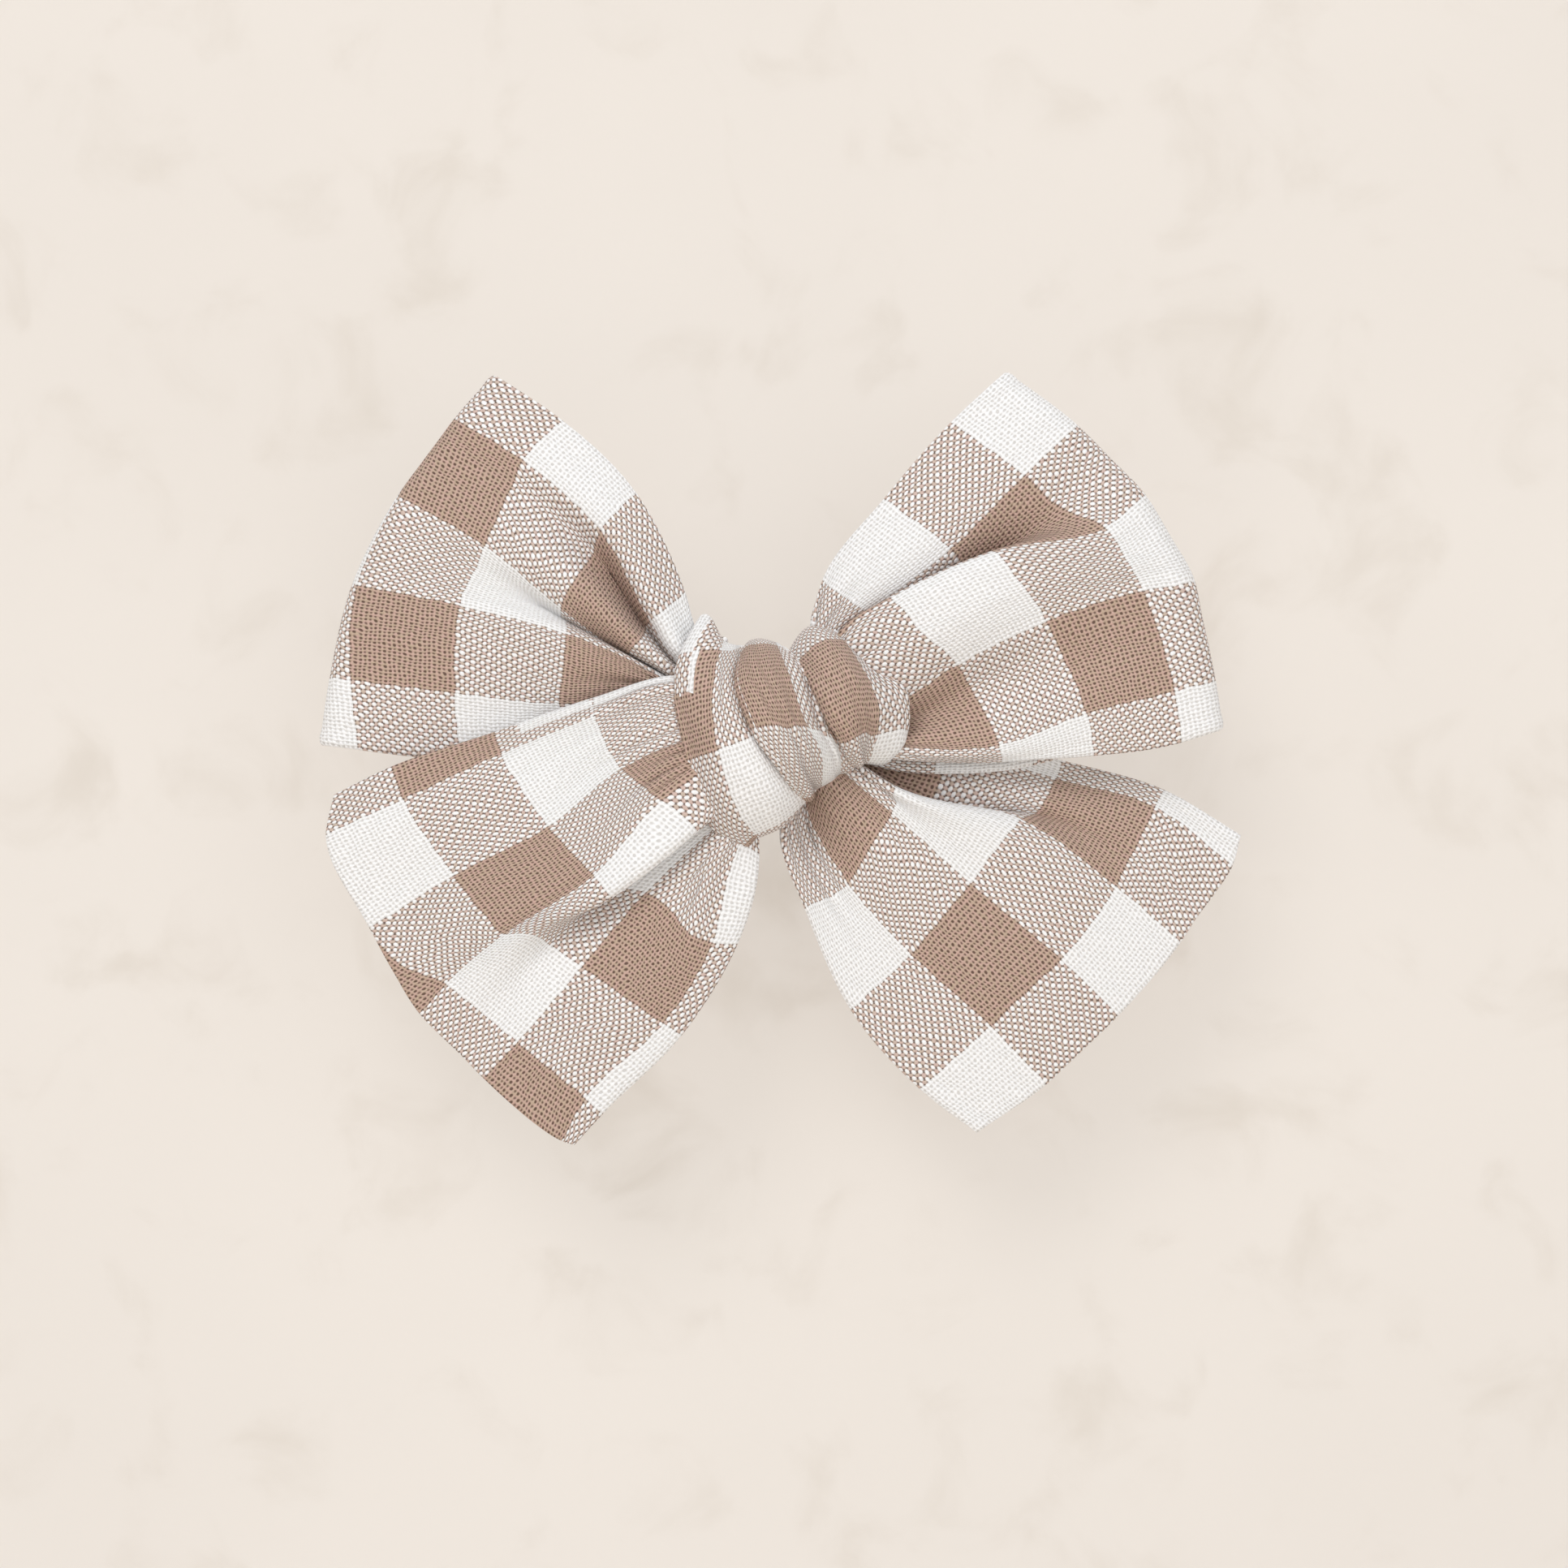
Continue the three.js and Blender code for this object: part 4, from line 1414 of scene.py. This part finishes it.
@dataclass(frozen=True)
class GluePad:
    """The glue that holds the knot to the ribbon, pressed out into a low bead all round."""

    half_length: float = 7.9
    half_height: float = 3.9
    low: float = -1.38
    high: float = -5.2

    def build(self) -> bpy.types.Object:
        """Makes the bead from a cut-up block whose sides swell and whose rim is uneven."""
        bpy.ops.object.select_all(action="DESELECT")
        middle = (self.low + self.high) / 2
        bpy.ops.mesh.primitive_cube_add(size=1.0, location=(0, middle * MM, 0))
        made = bpy.context.object
        made.name = "glue_bead"
        made.scale = (2 * self.half_length * MM, (self.low - self.high) * MM, 2 * self.half_height * MM)
        bpy.ops.object.transform_apply(location=True, rotation=True, scale=True)
        bpy.ops.object.mode_set(mode="EDIT")
        bpy.ops.mesh.select_all(action="SELECT")
        bpy.ops.mesh.bevel(offset=1.1 * MM, segments=3, affect="EDGES")
        bpy.ops.mesh.select_all(action="SELECT")
        bpy.ops.mesh.subdivide(number_cuts=3)
        bpy.ops.object.mode_set(mode="OBJECT")
        for vertex in made.data.vertices:
            x, y, z = vertex.co / MM
            depth = (y - self.low) / (self.high - self.low)
            uneven = noise.noise(Vector((x * 0.35, y * 0.6, z * 0.35 + 4)))
            narrow = 1 - 0.3 * depth + 0.1 * uneven
            hollow = 1.6 * max(0.0, depth - 0.5) * 2 * math.exp(-((z / 3.0) ** 2))
            place = Vector((x * narrow, y + hollow + 0.12 * uneven * depth, z * narrow))
            vertex.co = place * MM
        smooth = made.modifiers.new("smooth", "SUBSURF")
        smooth.levels = smooth.render_levels = 1
        bpy.ops.object.modifier_apply(modifier=smooth.name)
        make_smooth(made)
        made.select_set(False)
        return made


@dataclass(frozen=True)
class LiningRibbon:
    """The ribbon glued round the clip's arm, along its back, round its tip and a way up its grip."""

    outer_end: float = 18.5
    inner_end: float = -3.0
    tip: float = -26.05
    outer_y: float = -1.125
    inner_y: float = 0.325
    half_width: float = 4.3
    half_thick: float = 0.2

    def build(self) -> bpy.types.Object:
        """Makes the ribbon from its path, seen from above."""
        radius = (self.inner_y - self.outer_y) / 2
        middle = (self.inner_y + self.outer_y) / 2
        turn = np.linspace(math.pi / 2, 3 * math.pi / 2, 13)[::-1]
        outside = np.linspace(self.outer_end, self.tip, 90)[:-1]
        inside = np.linspace(self.tip, self.inner_end, 60)[1:]
        x = np.concatenate([outside, self.tip + radius * np.cos(turn), inside])
        y = np.concatenate(
            [0 * outside + self.outer_y, middle + radius * np.sin(turn), 0 * inside + self.inner_y]
        )
        run = np.concatenate([[0], np.cumsum(np.hypot(np.diff(x), np.diff(y)))])
        across = edge_spacing(2 * self.half_width, 0.5, 0.2, 0.2)
        lift = 0.02 * np.sin(run * 0.9)[None, :] * np.cos(across * 0.6)[:, None]
        points = np.stack(
            [
                x[None, :] + 0 * across[:, None],
                KNOT_MIDDLE_Y - (y[None, :] + lift),
                across[:, None] - self.half_width + 0 * x[None, :],
            ],
            axis=2,
        )
        weave = np.stack([run[None, :] + 0 * across[:, None], across[:, None] + 0 * run[None, :]], axis=2)
        thick = round_off(across, across[-1], 0.2)[:, None] * round_off(run, run[-1], 0.3)[None, :]
        return ClothSheet("ribbon_lining", points, thick * self.half_thick, weave).build(1.0)


@dataclass(frozen=True)
class ClipSpring:
    """The clip's torsion spring: a leg on the arm, a coil round the pin and a leg under the jaw."""

    hinge: tuple[float, float] = (9.0, 3.4)
    radius: float = 1.6
    turns: float = 3.5
    half_length: float = 1.3
    wire_radius: float = 0.35
    leg_end: float = 17.0

    def build(self) -> bpy.types.Object:
        """Makes the spring's wire."""
        turn = np.linspace(0, 1, 90)
        angle = -math.pi / 2 - 2 * math.pi * self.turns * turn
        coil = np.column_stack(
            [
                self.hinge[0] + self.radius * np.cos(angle),
                self.hinge[1] + self.radius * np.sin(angle),
                self.half_length * (2 * turn - 1),
            ]
        )
        half_way = (self.leg_end + self.hinge[0]) / 2
        first = [(self.leg_end, 0.65, -self.half_length), (half_way, 1.15, -self.half_length)]
        last = [(half_way, 5.25, self.half_length), (self.leg_end, 6.4, self.half_length)]
        knots = np.concatenate([np.array(first), coil, np.array(last)])
        run = np.concatenate([[0], np.cumsum(np.linalg.norm(np.diff(knots, axis=0), axis=1))])
        line = smooth_through(run, knots, np.linspace(0, run[-1], 260))
        return wire("torsion_spring", line, self.wire_radius)


@dataclass
class Clip:
    """The clip behind the bow, with what fastens the bow to it."""

    wardrobe: Wardrobe
    nodes: dict[str, bpy.types.Object]

    def build(self) -> None:
        """Makes and dresses the pieces inside and behind the knot, and dresses the clip's metal."""
        waist = Waist()
        self.fasten(waist.build(), "bow_waist", Slot.CLOTH)
        self.fasten(CinchThread().build(), "cinch_thread", Slot.THREAD)
        self.fasten(GluePad().build(), "glue_pad", Slot.GLUE)
        self.fasten(LiningRibbon().build(), "lining_ribbon", Slot.RIBBON)
        self.build_spring()
        for name in ("clip_arm", "clip_jaw", "hinge_pin"):
            self.wardrobe.dress_node(self.nodes[name], Slot.CLIP)

    def fasten(self, piece: bpy.types.Object, node: str, slot: Slot) -> None:
        """Dresses a piece that stays with the arm and stands for a CAD node."""
        self.wardrobe.dress(piece, slot)
        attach(piece, "bow_and_arm")
        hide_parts(node)
        log.info("%s: %d faces", piece.name, len(piece.data.polygons))

    def build_spring(self) -> None:
        """Makes the spring between the arm and the jaw."""
        spring = ClipSpring()
        piece = spring.build()
        self.wardrobe.dress(piece, Slot.SPRING)
        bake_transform(piece)
        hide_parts("clip_spring")
        log.info("%s: %d faces", piece.name, len(piece.data.polygons))


# ---------------------------------------------------------------- the studio


@dataclass(frozen=True)
class SoftLight:
    """A square soft light aimed at the bow, with its place and side in millimetres."""

    name: str
    place: tuple[float, float, float]
    side: float
    watts: float
    tint: tuple[float, float, float]
    aim: tuple[float, float, float] = (0, -10, -3)

    def build(self) -> None:
        """Adds the light to the scene."""
        lamp = bpy.data.lights.new(self.name, "AREA")
        lamp.size = self.side * MM
        lamp.energy = self.watts
        lamp.color = self.tint
        made = bpy.data.objects.new(self.name, lamp)
        made.location = Vector(self.place) * MM
        away = Vector(self.aim) * MM - made.location
        made.rotation_euler = away.to_track_quat("-Z", "Y").to_euler()
        bpy.context.scene.collection.objects.link(made)


LIGHTS = (
    SoftLight("window_light", (-240, -640, 520), 420, 3.1, (1, 0.99, 0.985)),
    SoftLight("fill_light", (300, -700, 80), 700, 1.65, (0.985, 0.99, 1)),
    SoftLight("back_light", (150, 600, 420), 420, 1.6, (1, 0.99, 0.97)),
)


@dataclass(frozen=True)
class Studio:
    """A pale plaster board behind the bow, a pale floor below it, soft lights and the camera."""

    aim: tuple[float, float] = (-1.1, -5.6)
    lens: float = 85.0
    sensor: float = 36.0
    view_width: float = 178.5
    board_y: float = 10.0
    board_half: float = 700.0
    floor_z: float = -150.0
    floor_half: float = 1500.0
    room_light: float = 0.5

    def plaster(self) -> bpy.types.Material:
        """Pale plaster, which shows only its front and lets light through from behind."""
        material, make, bsdf = new_material("pale plaster")
        place = make.add("ShaderNodeTexCoord")
        cloud = make.noise(place.outputs["Object"], 14.0, 5.0)
        trowel = make.noise(place.outputs["Object"], 70.0, 10.0)
        trowel.node.inputs["Distortion"].default_value = 0.5
        mark = make.add("ShaderNodeMapRange", interpolation_type="SMOOTHSTEP")
        mark.inputs["From Min"].default_value = 0.5
        mark.inputs["From Max"].default_value = 0.78
        make.feed(mark.inputs["Value"], trowel)
        base = make.blend(cloud, (0.304, 0.282, 0.259, 1), (0.33, 0.308, 0.284, 1))
        tone = make.blend(mark.outputs[0], base, (0.29, 0.266, 0.239, 1))
        make.feed(bsdf.inputs["Base Color"], tone)
        make.feed(bsdf.inputs["Emission Color"], tone)
        bsdf.inputs["Emission Strength"].default_value = 1.62
        bsdf.inputs["Roughness"].default_value = 0.95
        bsdf.inputs["Specular IOR Level"].default_value = 0.1
        bumped(make, bsdf, make.noise(place.outputs["Object"], 60.0, 6.0), 0.0004, 0.25)
        clear = make.add("ShaderNodeBsdfTransparent")
        face = make.add("ShaderNodeNewGeometry")
        path = make.add("ShaderNodeLightPath")
        unseen = make.sum("MAXIMUM", face.outputs["Backfacing"], path.outputs["Is Shadow Ray"])
        mixed = make.add("ShaderNodeMixShader")
        make.feed(mixed.inputs[0], unseen)
        make.feed(mixed.inputs[1], bsdf.outputs[0])
        make.feed(mixed.inputs[2], clear.outputs[0])
        make.feed(material.node_tree.nodes["Material Output"].inputs["Surface"], mixed.outputs[0])
        return material

    def floor_finish(self) -> bpy.types.Material:
        """The floor's pale matt paint."""
        material, make, bsdf = new_material("pale floor")
        place = make.add("ShaderNodeTexCoord")
        cloud = make.noise(place.outputs["Object"], 6.0, 3.0)
        make.feed(bsdf.inputs["Base Color"], make.blend(cloud, (0.8, 0.75, 0.69, 1), (0.86, 0.81, 0.75, 1)))
        bsdf.inputs["Roughness"].default_value = 0.9
        return material

    def panel(self, name: str, half: float, stance: Stance, level: float) -> bpy.types.Object:
        """A flat panel, upright facing -Y or lying facing +Z.

        Args:
            name: The panel's name.
            half: Half its side.
            stance: How it stands.
            level: Its place along its own normal's axis.

        Returns:
            The panel.
        """
        spots = [(-half, -half), (half, -half), (half, half), (-half, half)]
        if stance is Stance.WALL:
            points = [(x * MM, level * MM, z * MM) for x, z in spots]
        else:
            points = [(x * MM, y * MM, level * MM) for x, y in spots]
        mesh = bpy.data.meshes.new(name)
        mesh.from_pydata(points, [], [(0, 1, 2, 3)])
        made = bpy.data.objects.new(name, mesh)
        bpy.context.scene.collection.objects.link(made)
        return made

    def build(self) -> None:
        """Sets up the board, floor, lights, world and camera."""
        board = self.panel("plaster_board", self.board_half, Stance.WALL, self.board_y)
        board.data.materials.append(self.plaster())
        floor = self.panel("pale_floor", self.floor_half, Stance.FLOOR, self.floor_z)
        floor.data.materials.append(self.floor_finish())
        for light in LIGHTS:
            light.build()
        self.room()
        self.camera()

    def room(self) -> None:
        """Sets up the pale room's even light."""
        scene = bpy.context.scene
        world = bpy.data.worlds.new("pale room")
        world.use_nodes = True
        world.node_tree.nodes["Background"].inputs["Color"].default_value = (1, 1, 1, 1)
        world.node_tree.nodes["Background"].inputs["Strength"].default_value = self.room_light
        scene.world = world
        scene.view_settings.view_transform = "Standard"

    def camera(self) -> None:
        """Sets up the camera, straight in front of the bow."""
        camera_data = bpy.data.cameras.new("camera")
        camera_data.lens = self.lens
        camera_data.sensor_width = self.sensor
        camera_data.clip_start = 0.01
        camera = bpy.data.objects.new("camera", camera_data)
        distance = self.view_width * self.lens / self.sensor
        camera.location = (self.aim[0] * MM, (KNOT_MIDDLE_Y - distance) * MM, self.aim[1] * MM)
        camera.rotation_euler = (math.pi / 2, 0, 0)
        bpy.context.scene.collection.objects.link(camera)
        bpy.context.scene.camera = camera


# ---------------------------------------------------------------- the whole object


@dataclass
class Bow:
    """The cloth of the bow: four lobes of the strip and three pleats of the knot."""

    wardrobe: Wardrobe
    made: list[bpy.types.Object] = field(default_factory=list)

    def build(self) -> None:
        """Makes and dresses every cloth piece."""
        for lobe in (UPPER_LEFT, UPPER_RIGHT, LOWER_LEFT, LOWER_RIGHT):
            piece = lobe.build()
            self.finish(piece, "cloth_" + lobe.name, lobe.name)
        for pleat in (LEFT_PLEAT, MIDDLE_PLEAT, RIGHT_PLEAT):
            piece = pleat.build()
            self.finish(piece, "cloth_" + pleat.name, pleat.name)

    def finish(self, piece: bpy.types.Object, name: str, node: str) -> None:
        """Names, dresses and places one cloth piece."""
        piece.name = name
        self.wardrobe.dress(piece, Slot.CLOTH)
        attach(piece, "bow_and_arm")
        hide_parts(node)
        self.made.append(piece)
        log.info("%s: %d faces", piece.name, len(piece.data.polygons))


def main() -> None:
    """Builds the bow, its clip and the studio round the frame."""
    logging.basicConfig(level=logging.INFO, format="%(name)s: %(message)s")
    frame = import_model()
    wardrobe = Wardrobe()
    Bow(wardrobe).build()
    Clip(wardrobe, frame["nodes"]).build()
    Studio().build()


if __name__ == "__main__":
    main()
